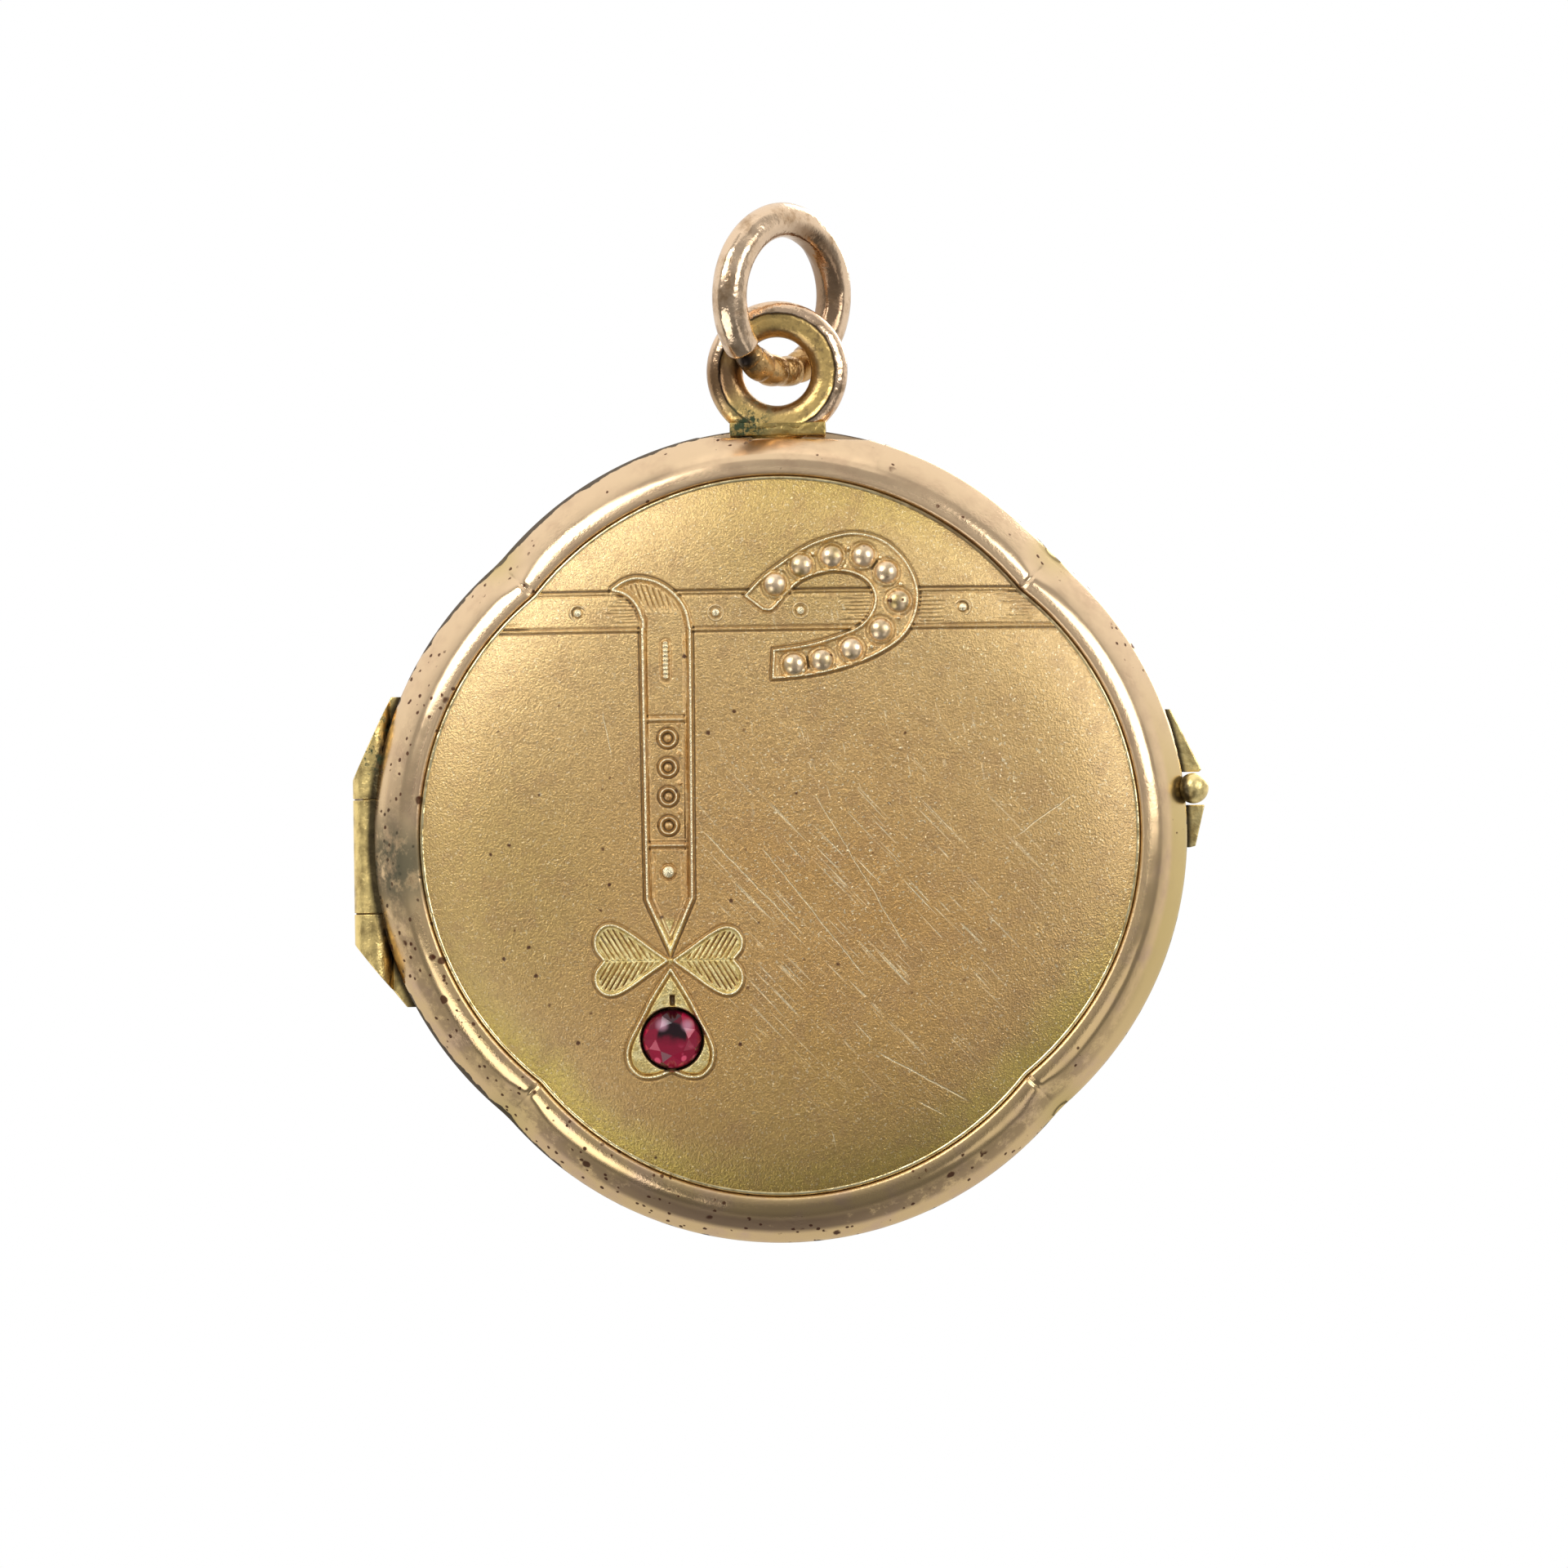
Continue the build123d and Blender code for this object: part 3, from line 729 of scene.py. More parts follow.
def rim_material():
    """Polished rose gold, browned in soft patches, with specks and a grey-green stain by the hinge, and
    painted shade low down, along the outer wall and by the seam.
    """
    s = Surface("rose_gold_rim", Metallic=1.0)
    radius = s.lobe_radius()
    # Painted shade: the rose turns a little darker and yellower towards the bottom
    s.color = s.mix(s.ramp(s.axis("Z"), 6.0, -6.0), ROSE, ROSE_SHADED)
    s.tint((0.72, 0.50, 0.31), s.patches(0.45, 0.75, 1.1, 4, 0.6))
    yellower = s.times(s.ramp(radius, 10.35, 10.55), s.near(12.0, -1.5, 7.0))
    for x, z in ((8.75, 8.75), (-8.75, 8.75), (-8.6, -8.6), (8.6, -8.6)):
        yellower = s.larger(yellower, s.near(x, z, 1.3))
    s.tint((0.66, 0.50, 0.20), yellower, 0.8)
    # Painted shade: brown in soft patches over the crown of the lower and left side, strongest at the
    # bottom; the roughness follows it
    low = s.larger(s.ramp(s.axis("Z"), -3.0, -10.0), s.near(-11.0, -3.0, 9.0))
    crown = s.times(s.ramp(radius, 9.92, 10.30), s.ramp(radius, 10.68, 10.50))
    bottom = s.near(-1.0, -12.0, 7.5)
    clear = s.between(bottom, 0.36, 0.20)
    shade_patches = s.ramp(s.minus(s.noise(0.7, 5, 0.75), clear), 0.0, 0.20)
    crown_shade = s.times(s.times(low, crown), shade_patches)
    s.tint(ROSE_BROWN, s.times(crown_shade, s.between(bottom, 0.55, 0.95)))
    fine = tarnished(s, 0.34, 0.20, 0.20, (-10, -6))
    coarse = tarnished(s, 0.8, 0.18, 0.15, (-8, -9))
    stain = s.times(s.near(-11.75, -0.7, 2.3), s.patches(0.30, 0.56, 0.6, 4, 0.7))
    s.tint(GREY_GREEN, stain, 0.9)
    # Painted shade: near-black along the top of the outer wall, wider at the upper and lower left, and along
    # the wall by the seam
    reach = s.between(s.larger(s.near(-7.0, 10.0, 9.0), s.near(-10.0, -8.0, 5.5)), 10.95, 10.83)
    ragged = s.wavy(radius, 0.5, 4, 0.22)
    height = s.math("ABSOLUTE", s.axis("Y"))
    edge = s.times(s.ramp(s.minus(ragged, reach), 0.0, 0.02), s.ramp(height, 0.36, 0.44))
    seam = s.ramp(s.plus(height, s.times(s.noise(0.5, 4), 0.16)), 0.24, 0.16)
    edge = s.larger(edge, s.times(seam, s.ramp(radius, 10.86, 10.93)))
    s.tint((0.09, 0.075, 0.06), edge, 0.9)
    s.rough = s.between(s.patches(0.4, 0.7, 1.8, 3), 0.17, 0.26)
    s.roughen(0.38, s.ramp(radius, 9.85, 9.62))
    # Rougher where the stain, the specks and the painted edge shade lie
    dull_and_shade = s.larger(s.larger(stain, edge), s.larger(fine, coarse))
    s.roughen(0.36, crown_shade)
    s.roughen(0.6, dull_and_shade)
    worn = s.larger(s.ramp(radius, 9.95, 9.68), s.patches(0.50, 0.70, 2.2, 3))
    s.bump(s.times(s.noise(0.10, 3, 0.6), worn), 0.010)
    s.bump(s.noise(1.3, 2), 0.02)
    return s.finish(s.between(stain, 1.0, 0.7))


def panel_material(name, base, shade_brown, scratches=()):
    """Matte fine-grained gold: painted shade browns the middle and dims the left, top and bottom, olive at
    the edge, with pits, scratches, painted glints and painted highlights on the raised relief.
    """
    s = Surface(name, Metallic=1.0, Coat_Weight=0.6, Coat_Roughness=0.32)
    relief = s.attribute("relief")
    radius = s.lobe_radius()
    cloud = s.patches(0.25, 0.75, 4.0, 3, 0.5)
    # Painted shade: the middle, centred a little low, turns to the browner colour in soft clouds
    middle = s.times(s.near(1.0, -4.0, 14.0), s.between(cloud, 0.75, 1.0))
    s.color = s.mix(middle, base, shade_brown)
    uneven = s.plus(radius, s.noise(2.5, 3))
    tinted = s.larger(s.ramp(s.axis("Z"), -1.0, -6.5), s.times(s.near(2.0, 10.5, 6.0), 0.6))
    olive = s.times(s.ramp(uneven, 8.3, 9.8), s.times(tinted, 0.9))
    s.tint(EDGE_OLIVE, olive)
    # Painted shade: darker towards the left, the bottom and the top
    dull_and_shade = s.larger(s.near(-9.0, -1.5, 6.0), s.near(1.0, -10.5, 7.5))
    s.tint((0.52, 0.355, 0.11), s.larger(dull_and_shade, s.near(0.5, 9.5, 4.5)), 0.60)
    s.tint((0.42, 0.26, 0.11), s.patches(0.45, 0.85, 0.30, 3, 0.7), 0.30)
    s.tint((0.46, 0.28, 0.11), s.patches(0.46, 0.62, 0.11, 2, 0.6), 0.30)
    s.tint((0.47, 0.28, 0.13), s.patches(0.48, 0.66, 0.9, 4, 0.65), 0.36)
    pits = tarnished(s, 0.7, 0.10, 0.06, (-4, -3))
    marks = s.patches(0.61, 0.68, 1.0, 2, 0.5, s.stretched((0.30, 1, 13), -47))
    field = s.times(s.near(2.6, -2.2, 8.0), s.patches(0.41, 0.55, 1.1, 2))
    worn = s.times(marks, field)
    flecks = s.patches(0.64, 0.71, 1.0, 2, 0.5, s.stretched((9, 1, 1.1), 12))
    field = s.times(s.near(2.5, 3.5, 7.5), s.patches(0.46, 0.60, 0.8, 2))
    worn = s.larger(worn, s.times(s.times(flecks, field), 0.7))
    for start, end, width in scratches:
        worn = s.larger(worn, s.scratch(start, end, width))
    # Painted highlights: tiny bright glints, more of them to the right. The scratches and rubbed marks
    # before them are brightened as real wear
    glint = s.times(s.patches(0.62, 0.68, 0.08), s.between(s.near(5.0, 1.0, 12.0), 0.5, 1.0))
    wear_and_glint = s.larger(worn, glint)
    s.tint(BRIGHT, wear_and_glint, 0.75)
    leaf = s.times(s.ramp(relief, 0.004, 0.014), s.ramp(s.axis("Z"), -2.4, -2.6))
    # The highest relief is tinted bright, partly as rubbed wear and partly as a painted highlight. The
    # hollows are darkened as dirt, and the dip round the stone as painted shade
    high = s.ramp(relief, 0.066, 0.092)
    dirt_and_shade = s.ramp(relief, -0.008, -0.034)
    cut = s.mix(s.patches(0.40, 0.62, 0.30, 3, 0.7), (0.72, 0.56, 0.20), (1.0, 0.88, 0.44))
    s.tint(cut, leaf, 0.8)
    s.tint(BRIGHT, high, 0.9)
    s.tint((0.13, 0.085, 0.035), dirt_and_shade, 0.80)
    s.rough = s.between(s.patches(0.35, 0.7, 0.8, 2), 0.34, 0.40)
    s.roughen(0.27, s.larger(wear_and_glint, s.larger(high, olive)))
    s.bump(s.noise(0.07, 2, 0.7), 0.034)
    s.bump(s.noise(0.18, 2, 0.5), 0.008)
    s.bump(s.times(worn, -1.0), 0.010)
    s.roughen(0.7, s.larger(pits, dirt_and_shade))
    return s.finish()


def brass_material(name, base, verdigris=None, roughness=0.26, dents=0.02, rim_shade_width=0.0, specks=0.06):
    """Worn yellow brass with verdigris round a place on the case, and painted shade where it meets the rim.
    """
    s = Surface(name, Metallic=1.0)
    s.color = s.mix(s.patches(0.4, 0.75, 0.5, 4, 0.6), base, OLIVE_GOLD)
    if rim_shade_width:
        # Painted shade: near-black where the piece comes close to the rim's outline
        shade_at_rim = s.ramp(s.lobe_radius(), RIM_OUTSIDE + rim_shade_width, RIM_OUTSIDE + 0.3 * rim_shade_width)
        s.tint(DARK, shade_at_rim, 0.9)
    pits = tarnished(s, 0.35, 0.18, specks, (0, 0))
    s.rough = s.between(s.patches(0.35, 0.7, 0.3, 3), roughness, roughness + 0.14)
    metallic = 1.0
    if verdigris:
        x, z, reach, amount = verdigris
        green = s.times(s.near(x, z, reach), s.patches(0.60 - amount, 0.72 - amount, 0.28, 4, 0.7))
        s.tint(VERDIGRIS, green)
        s.roughen(0.75, green)
        metallic = s.between(green, 1.0, 0.1)
    s.roughen(0.6, pits)
    s.bump(s.noise(0.45, 3, 0.6), dents)
    s.bump(s.noise(0.07, 2), 0.004)
    return s.finish(metallic)


def wire_material():
    """Polished rose-gold wire with long drawing marks and a few brown smudges."""
    s = Surface("rose_gold_wire", Metallic=1.0)
    s.color = s.mix(s.patches(0.46, 0.70, 0.7, 4, 0.6), (0.84, 0.62, 0.42), (0.50, 0.33, 0.19))
    from_centre = s.node("ShaderNodeVectorMath", operation="LENGTH")
    s.link(s.mm, from_centre.inputs[0])
    inside = s.ramp(from_centre.outputs["Value"], RING_RADIUS + 0.10, RING_RADIUS - 0.20)
    shaded = s.times(inside, s.ramp(s.axis("X"), 0.4, 1.1))
    s.tint((0.30, 0.18, 0.10), shaded, 0.85)
    s.rough = s.between(s.patches(0.4, 0.7, 0.4, 3), 0.15, 0.30)
    s.bump(s.noise(0.55, 3, 0.6), 0.03)
    s.bump(s.noise(0.12, 2), 0.006)
    return s.finish()


def solder_material():
    """Filed brass solder, with a painted black shadow in the crevice under the cut end of the wire."""
    s = Surface("solder_brass", Metallic=1.0)
    s.color = s.mix(s.patches(0.42, 0.70, 0.4, 4, 0.6), (0.74, 0.46, 0.19), (0.40, 0.24, 0.09))
    # Painted shadow under the cut end of the wire
    s.tint(DARK, s.near(-0.84, 14.50, 0.62))
    s.rough = s.between(s.patches(0.35, 0.7, 0.3, 3), 0.26, 0.42)
    s.bump(s.noise(0.40, 3, 0.6), 0.06)
    return s.finish()


def edge_material():
    """Bright gold bead round the panel, with painted brown shade towards its upper right."""
    s = Surface("edge_gold", Metallic=1.0)
    s.color = s.mix(s.patches(0.42, 0.75, 0.4, 4, 0.6), (1.0, 0.86, 0.50), (0.62, 0.45, 0.18))
    # Painted shade: brown towards the upper right
    shade_brown = s.times(s.near(6.5, 8.5, 8.0), s.patches(0.30, 0.45, 0.8, 3))
    s.tint((0.16, 0.095, 0.045), shade_brown, 0.85)
    s.rough = s.between(shade_brown, 0.20, 0.45)
    s.bump(s.noise(0.45, 3), 0.05)
    return s.finish()


def bail_material():
    """Rose plate worn through to olive brass on the flat faces, with painted brown shade in the hole and on
    the left and painted dark shade in the crease, green at the foot.
    """
    s = Surface("bail_gold", Metallic=1.0)
    radius = s.distance(BAIL_X, BAIL_HEIGHT)
    ragged = s.wavy(radius, 0.35, 3, 0.12)
    worn_low = s.near(-0.6, 12.9, 1.9)
    face = s.larger(s.ramp(ragged, 1.80, 1.76), worn_low)
    s.color = s.mix(face, (0.84, 0.60, 0.40), (0.95, 0.66, 0.24))
    # Painted shade: brown in the hole
    s.tint((0.26, 0.17, 0.09), s.ramp(radius, 1.42, 1.22), 0.85)
    s.tint((0.28, 0.18, 0.09), s.patches(0.48, 0.70, 0.4, 4, 0.7), 0.75)
    # Painted shade: brown on the left side
    s.tint((0.34, 0.20, 0.10), s.near(-1.6, 14.0, 1.3))
    # Painted shade: near-black along the crease between the rounded outside and the flat face
    crease = s.times(s.ramp(ragged, 1.71, 1.76), s.ramp(ragged, 1.84, 1.79))
    s.tint(DARK, crease, 0.85)
    green = s.times(s.near(-0.75, 12.55, 1.25), s.patches(0.42, 0.56, 0.30, 4, 0.7))
    s.tint(VERDIGRIS, green)
    s.rough = s.between(face, 0.18, 0.32)
    s.roughen(0.75, green)
    s.bump(s.noise(0.5, 3, 0.6), 0.035)
    s.bump(s.noise(0.09, 2), 0.006)
    return s.finish(s.between(green, 1.0, 0.15))


def stone_material():
    """Ruby-red paste: each facet has its own painted share of light, painted shade makes the table darkest
    above its middle, with painted pink light low down, two painted gleams and a painted dark edge.
    """
    s = Surface("ruby_paste", Roughness=0.03, IOR=1.62, Transmission_Weight=0.2, Specular_IOR_Level=0.35)
    # Painted light: each facet's stored share of light sets its red
    s.color = s.mix(s.attribute("facet"), (0.030, 0.001, 0.005), (0.60, 0.012, 0.07))
    # Painted shade: dark above the middle of the table
    level = s.wavy(s.axis("Z"), 0.35, 2, 0.5)
    within = s.ramp(s.distance(STONE_X, STONE_Z + 0.08), 0.50, 0.40)
    dark = s.times(within, s.ramp(level, STONE_Z - 0.22, STONE_Z + 0.14))
    s.tint((0.012, 0.001, 0.004), dark)
    # Painted light: pink flecks on the lower part
    low = s.ramp(s.axis("Z"), STONE_Z - 0.10, STONE_Z - 0.55)
    s.tint((0.80, 0.10, 0.19), s.times(low, s.ramp(s.cells(0.42), 0.34, 0.22)))
    left_gleam = s.near(STONE_X - 0.30, STONE_Z + 0.44, 0.26)
    right_gleam = s.near(STONE_X + 0.48, STONE_Z + 0.42, 0.26)
    s.tint((0.62, 0.30, 0.40), s.larger(left_gleam, right_gleam), 0.8)
    # Painted shade: a dark ring round the edge of the stone
    edge = s.ramp(s.distance(STONE_X, STONE_Z), STONE_RADIUS - 0.10, STONE_RADIUS)
    s.tint((0.03, 0.004, 0.006), edge)
    return s.finish()


def foil_material():
    """Pink reflecting foil under the stone, with painted shade over its upper part and at its rim."""
    s = Surface("stone_foil", Metallic=1.0)
    s.color = s.mix(s.noise(0.4, 3), (0.45, 0.05, 0.10), (0.75, 0.16, 0.22))
    shade = s.ramp(s.axis("Z"), STONE_Z - 0.25, STONE_Z + 0.10)
    s.tint((0.04, 0.003, 0.010), shade, 0.92)
    # Painted shade: dark at the rim
    rim = s.ramp(s.distance(STONE_X, STONE_Z), STONE_RADIUS - 0.03, STONE_RADIUS)
    s.tint(DARK, rim)
    s.rough = s.between(s.noise(0.2), 0.15, 0.4)
    s.bump(s.noise(0.3), 0.03)
    return s.finish()


def card_material():
    """Aged card with fibres and foxing."""
    s = Surface("aged_card", Metallic=0.0, Roughness=0.85)
    s.color = s.mix(s.patches(0.35, 0.75, 2.5, 5, 0.6), (0.60, 0.50, 0.35), (0.44, 0.33, 0.20))
    spots = s.times(s.ramp(s.cells(1.6), 0.16, 0.05), s.patches(0.5, 0.6, 3.0))
    s.tint((0.24, 0.13, 0.06), spots)
    fibres = s.noise(0.15, 3, 0.6, s.stretched((1, 1, 0.25), 20))
    s.bump(fibres, 0.01)
    return s.finish()


def window_material():
    """Clear, faintly yellowed sheet with hairline scratches."""
    s = Surface("window_sheet", IOR=1.49, Transmission_Weight=1.0)
    hairs = s.patches(0.64, 0.72, 1.0, 2, 0.5, s.stretched((0.2, 1, 16), 25))
    s.color = s.mix(s.noise(4.0), (0.97, 0.96, 0.90), (0.93, 0.90, 0.78))
    s.rough = s.between(hairs, 0.03, 0.22)
    return s.finish()


SCRATCHES = [
    ((2.85, -6.60), (5.75, -8.20), 0.030),
    ((4.00, -8.10), (5.05, -8.65), 0.024),
    ((-2.35, 0.20), (0.75, -3.10), 0.026),
    ((-0.60, -0.30), (2.60, -4.40), 0.022),
    ((1.05, 1.30), (3.90, -3.60), 0.020),
    ((-5.75, -2.75), (-4.85, -3.75), 0.022),
    ((-5.35, 3.95), (-5.05, 2.30), 0.020),
    ((8.95, 1.15), (7.05, -0.20), 0.022),
    ((1.45, -8.90), (1.60, -9.60), 0.022),
]
rim_gold = rim_material()
panel_gold = panel_material("cover_panel_gold", YELLOW, (0.60, 0.345, 0.115), SCRATCHES)
back_gold = panel_material("back_plate_gold", (0.80, 0.58, 0.30), (0.62, 0.42, 0.24))
hinge_brass = brass_material("hinge_brass", (1.0, 0.76, 0.30), verdigris=(-12.2, 2.9, 1.9, 0.10),
                             roughness=0.30, dents=0.05, rim_shade_width=0.25)
catch_brass = brass_material("catch_brass", (1.0, 0.80, 0.36), roughness=0.32, dents=0.05, rim_shade_width=0.20)
edge_gold = edge_material()
# Near-black brass for painted shade in the knuckle joints
joint_shade_brass = brass_material("joint_shade_brass", (0.05, 0.035, 0.025), roughness=0.6)
foot_brass = brass_material("foot_brass", (0.50, 0.36, 0.12), verdigris=(-0.9, 12.5, 1.3, 0.16),
                            roughness=0.34, dents=0.05)
bail_brass = bail_material()
solder_brass = solder_material()
frame_brass = brass_material("gilt_frame", (0.80, 0.62, 0.32), roughness=0.36, dents=0.006, specks=-0.10)
bead_gold = brass_material("bead_gold", (0.94, 0.72, 0.48), roughness=0.27, dents=0.012)
bezel_gold = brass_material("bezel_gold", (0.84, 0.64, 0.34), roughness=0.18, dents=0.008)
wire_gold = wire_material()
ruby = stone_material()
foil = foil_material()
card = card_material()
window = window_material()


# ---- Rims ----

# A wall up from the seam, a long slope that curves a little, and a narrow crown at its top
CROWN_PEAK = 9.60
CROWN_HEIGHT = 1.60
CROWN_RADIUS = 0.85
SLOPE_RADIUS = 4.58
SLOPE_TILTS = (math.radians(57), math.radians(42))

# The flat that is filed on the cover's rim for the foot of the bail
NOTCH_X = 0.30
NOTCH_LEVEL = 12.12
NOTCH_TILT = math.radians(1.5)
NOTCH_SIZE = (9, 2.2, 2)


def arc_points(centre, radius, tilts):
    """Points of an arc, (lobe radius, height), whose outward normal has those tilts from upright."""
    return [(centre[0] + radius * math.sin(t), centre[1] + radius * math.cos(t)) for t in tilts]


def rim_profile():
    """The closed section of the pressed rim, as (lobe radius, height)."""
    wall = [(10.68, 0.04), (10.92, 0.04), (10.945, 0.07), (RIM_OUTSIDE, 0.14), (RIM_OUTSIDE, 0.42)]
    steep, shallow = SLOPE_TILTS
    crown = arc_points((CROWN_PEAK, CROWN_HEIGHT - CROWN_RADIUS), CROWN_RADIUS, np.linspace(shallow, 0, 12))
    top_x, top_y = crown[0]
    slope_centre = (top_x - SLOPE_RADIUS * math.sin(shallow), top_y - SLOPE_RADIUS * math.cos(shallow))
    slope = arc_points(slope_centre, SLOPE_RADIUS, np.linspace(steep, shallow, 9)[:-1])
    inner = [(9.575, 1.594), (9.55, 1.58), (9.525, 1.558), (9.505, 1.525), (9.49, 1.47), (9.485, 1.40)]
    back = [(9.49, 1.14), (9.70, 1.22), (9.95, 1.16), (10.20, 0.97), (10.45, 0.70), (10.62, 0.44),
            (10.66, 0.30)]
    return wall + slope + crown + inner + back


def make_rim(name, node, side, body):
    points, faces = lobed_ring(rim_profile(), side, crease=0.06)
    return finish_mesh(build_mesh(points, faces, 60), name, body, rim_gold, [node])


def file_notch(piece):
    """Files a chord off the top of the cover's rim, where the foot of the bail stands behind it."""
    cutter = bpy.data.meshes.new("notch")
    bm = bmesh.new()
    bmesh.ops.create_cube(bm, size=1)
    bm.to_mesh(cutter)
    bm.free()
    width, depth, height = NOTCH_SIZE
    middle = Vector((case_centre.x + NOTCH_X, -0.2, case_centre.z + NOTCH_LEVEL + height / 2))
    place = Matrix.Translation(middle * MM) @ Matrix.Rotation(NOTCH_TILT, 4, "Y")
    cutter.transform(place @ Matrix.Diagonal((width * MM, depth * MM, height * MM, 1)))
    block = bpy.data.objects.new("notch", cutter)
    bpy.context.scene.collection.objects.link(block)
    cut = piece.modifiers.new("notch", "BOOLEAN")
    cut.operation = "DIFFERENCE"
    cut.object = block
    evaluated = piece.evaluated_get(bpy.context.evaluated_depsgraph_get())
    mesh = bpy.data.meshes.new_from_object(evaluated)
    piece.modifiers.clear()
    piece.data = mesh
    mesh.set_sharp_from_angle(angle=math.radians(50))
    bpy.data.objects.remove(block)


# ---- Panels ----

# The motifs of the cover are finer meshes whose edges lap over the plate and dip into it
PLATE_FLOOR = 1.15
MOTIF_FLOOR = 1.45
MOTIF_STEP = 0.020
MOTIF_MARGIN = 0.34
MOTIF_LAP = 0.0015
CASE_REACH = PANEL_RADIUS + LOBE_OFFSET


def in_panel(x, z):
    return lobe_distance(x, z) < PANEL_RADIUS - 0.02


def nearest_outline(x, z, outlines):
    """Distance to the nearest of some closed outlines, negative inside it."""
    return np.minimum.reduce([line_distance(x, z, outline, closed=True) for outline in outlines])


def plate_height(x, z):
    """The cover panel without its motifs: it dips where one of them lies on it."""
    motifs = nearest_outline(x, z, (strap_outline, shoe_outline, left_leaf, right_leaf, stone_leaf))
    return dome(x, z) + belt(x, z) - 0.25 * (1 - smooth_step(motifs, 0.0, 0.11))


def make_cover_plate():
    xs = steps_between((-CASE_REACH, 0.09), CASE_REACH)
    zs = steps_between((-CASE_REACH, 0.09), (BELT_BOTTOM - 0.15, 0.022), (BELT_TOP + 0.12, 0.09), CASE_REACH)
    mesh = height_field(xs, zs, in_panel, plate_height, PLATE_FLOOR, COVER, PANEL_RADIUS, belt)
    finish_mesh(mesh, "cover_plate", "cover", panel_gold, ["front_panel"])


def make_back_plate():
    """The same dome with no relief."""
    xs = steps_between((-CASE_REACH, 0.12), CASE_REACH)
    mesh = height_field(xs, xs, in_panel, dome, PLATE_FLOOR, BACK, PANEL_RADIUS)
    finish_mesh(mesh, "back_plate", "back", back_gold, ["back_panel"])


def make_motif(name, outlines, low, high, lift):
    """One motif of the stamped cover, as its own fine mesh whose edge laps under the plate."""
    def height(x, z):
        sink = 2 * MOTIF_LAP * smooth_step(nearest_outline(x, z, outlines), 0.16, MOTIF_MARGIN)
        return cover_height(x, z) + lift - sink

    def near_motif(x, z):
        return nearest_outline(x, z, outlines) < MOTIF_MARGIN

    xs = steps_between((low[0], MOTIF_STEP), high[0])
    zs = steps_between((low[1], MOTIF_STEP), high[1])
    mesh = height_field(xs, zs, near_motif, height, MOTIF_FLOOR, COVER, drawing=drawing)
    finish_mesh(mesh, name, "cover", panel_gold)


def make_edge_bead(name, side, body):
    """A fine bright bead where the panel meets the rim."""
    turn = np.linspace(0, 2 * math.pi, 12, endpoint=False)
    section = [(9.40 + 0.065 * math.cos(t), 1.515 + 0.065 * math.sin(t)) for t in turn]
    finish_mesh(build_mesh(*lobed_ring(section, side)), name, body, edge_gold)


def on_dome(x, z, above=0.0):
    """A point on the plain panel of the cover, or above it."""
    level = float(dome(np.array([x]), np.array([z]))[0])
    return on_case(x, z, level + above, COVER)


def make_beads():
    """The ten domed beads of the horseshoe."""
    top, base = 0.30, -0.10
    angles = np.linspace(0, math.pi / 2, 14)
    profile = [(BEAD_RADIUS * math.sin(a), base + (top - base) * math.cos(a)) for a in angles] + [(0, base)]
    beads = [lathe(profile, on_dome(x, z, -0.08), (0, COVER, 0), 40) for x, z in BEADS]
    finish_mesh(build_mesh(*joined(beads), 80), "horseshoe_beads", "cover", bead_gold)


def make_rivets():
    """Rivets of the belt, each a button in a groove inside a low ring."""
    button = [(0, 0.12), (0.06, 0.112), (0.11, 0.088), (0.145, 0.05), (0.16, 0.01), (0.185, 0.005),
              (0.205, 0.03), (0.235, 0.04), (0.265, 0.03), (0.29, -0.03), (0, -0.05)]
    # How worn, or below 0 how dirty, each of those rows is
    wear = [0.10, 0.10, 0.08, 0.03, -0.04, -0.04, 0.03, 0.09, 0.03, -0.04, -0.04]
    steps = 40
    rivets = [lathe(button, on_dome(x, z), (0, COVER, 0), steps) for x, z in BELT_RIVETS]
    mesh = build_mesh(*joined(rivets), 80)
    store_relief(mesh, np.tile(np.repeat(wear, steps), len(BELT_RIVETS)))
    finish_mesh(mesh, "belt_rivets", "cover", panel_gold)


# ---- Stone ----


def gem():
    """A round paste: an eight-sided table, a star of crown facets, a girdle and a pavilion."""
    def corners(count, radius, height, turn=0.0):
        angles = [2 * math.pi * k / count + turn for k in range(count)]
        return [(radius * math.cos(a), radius * math.sin(a), height) for a in angles]

    points = corners(8, 0.50, TABLE_HEIGHT)
    points += corners(8, 0.76, TABLE_HEIGHT - 0.13, math.pi / 8)
    points += corners(16, STONE_RADIUS, GIRDLE_HEIGHT)
    points += corners(16, STONE_RADIUS, GIRDLE_HEIGHT - 0.05)
    points.append((0, 0, 1.64))
    # Where each row starts in points
    star, girdle, low, culet = 8, 16, 32, 48
    faces = [list(range(8))]
    for k in range(8):
        after = (k + 1) % 8
        faces.append([k, after, star + k])
        faces.append([after, star + after, girdle + 2 * after, star + k])
        faces.append([star + k, girdle + 2 * k, girdle + 2 * k + 1])
        faces.append([star + k, girdle + 2 * k + 1, girdle + 2 * after])
    for k in range(16):
        after = (k + 1) % 16
        faces.append([girdle + k, girdle + after, low + after, low + k])
        faces.append([low + k, low + after, culet])
    places = [on_case(STONE_X + x, STONE_Z + z, h, COVER) for x, z, h in points]
    return places, faces


def tint_facets(mesh):
    """Gives each facet a seeded share of light, less of it in the upper middle."""
    rng = np.random.default_rng(7)
    tint = mesh.attributes.new("facet", "FLOAT", "FACE")
    for number, face in enumerate(mesh.polygons):
        x = face.center.x / MM - case_centre.x - STONE_X
        z = face.center.z / MM - case_centre.z - STONE_Z
        shade = rng.uniform(0.35, 1.0) ** 2
        if z > 0.25 and abs(x) < 0.30:
            shade *= 0.25
        tint.data[number].value = 0.40 if number == 0 else shade


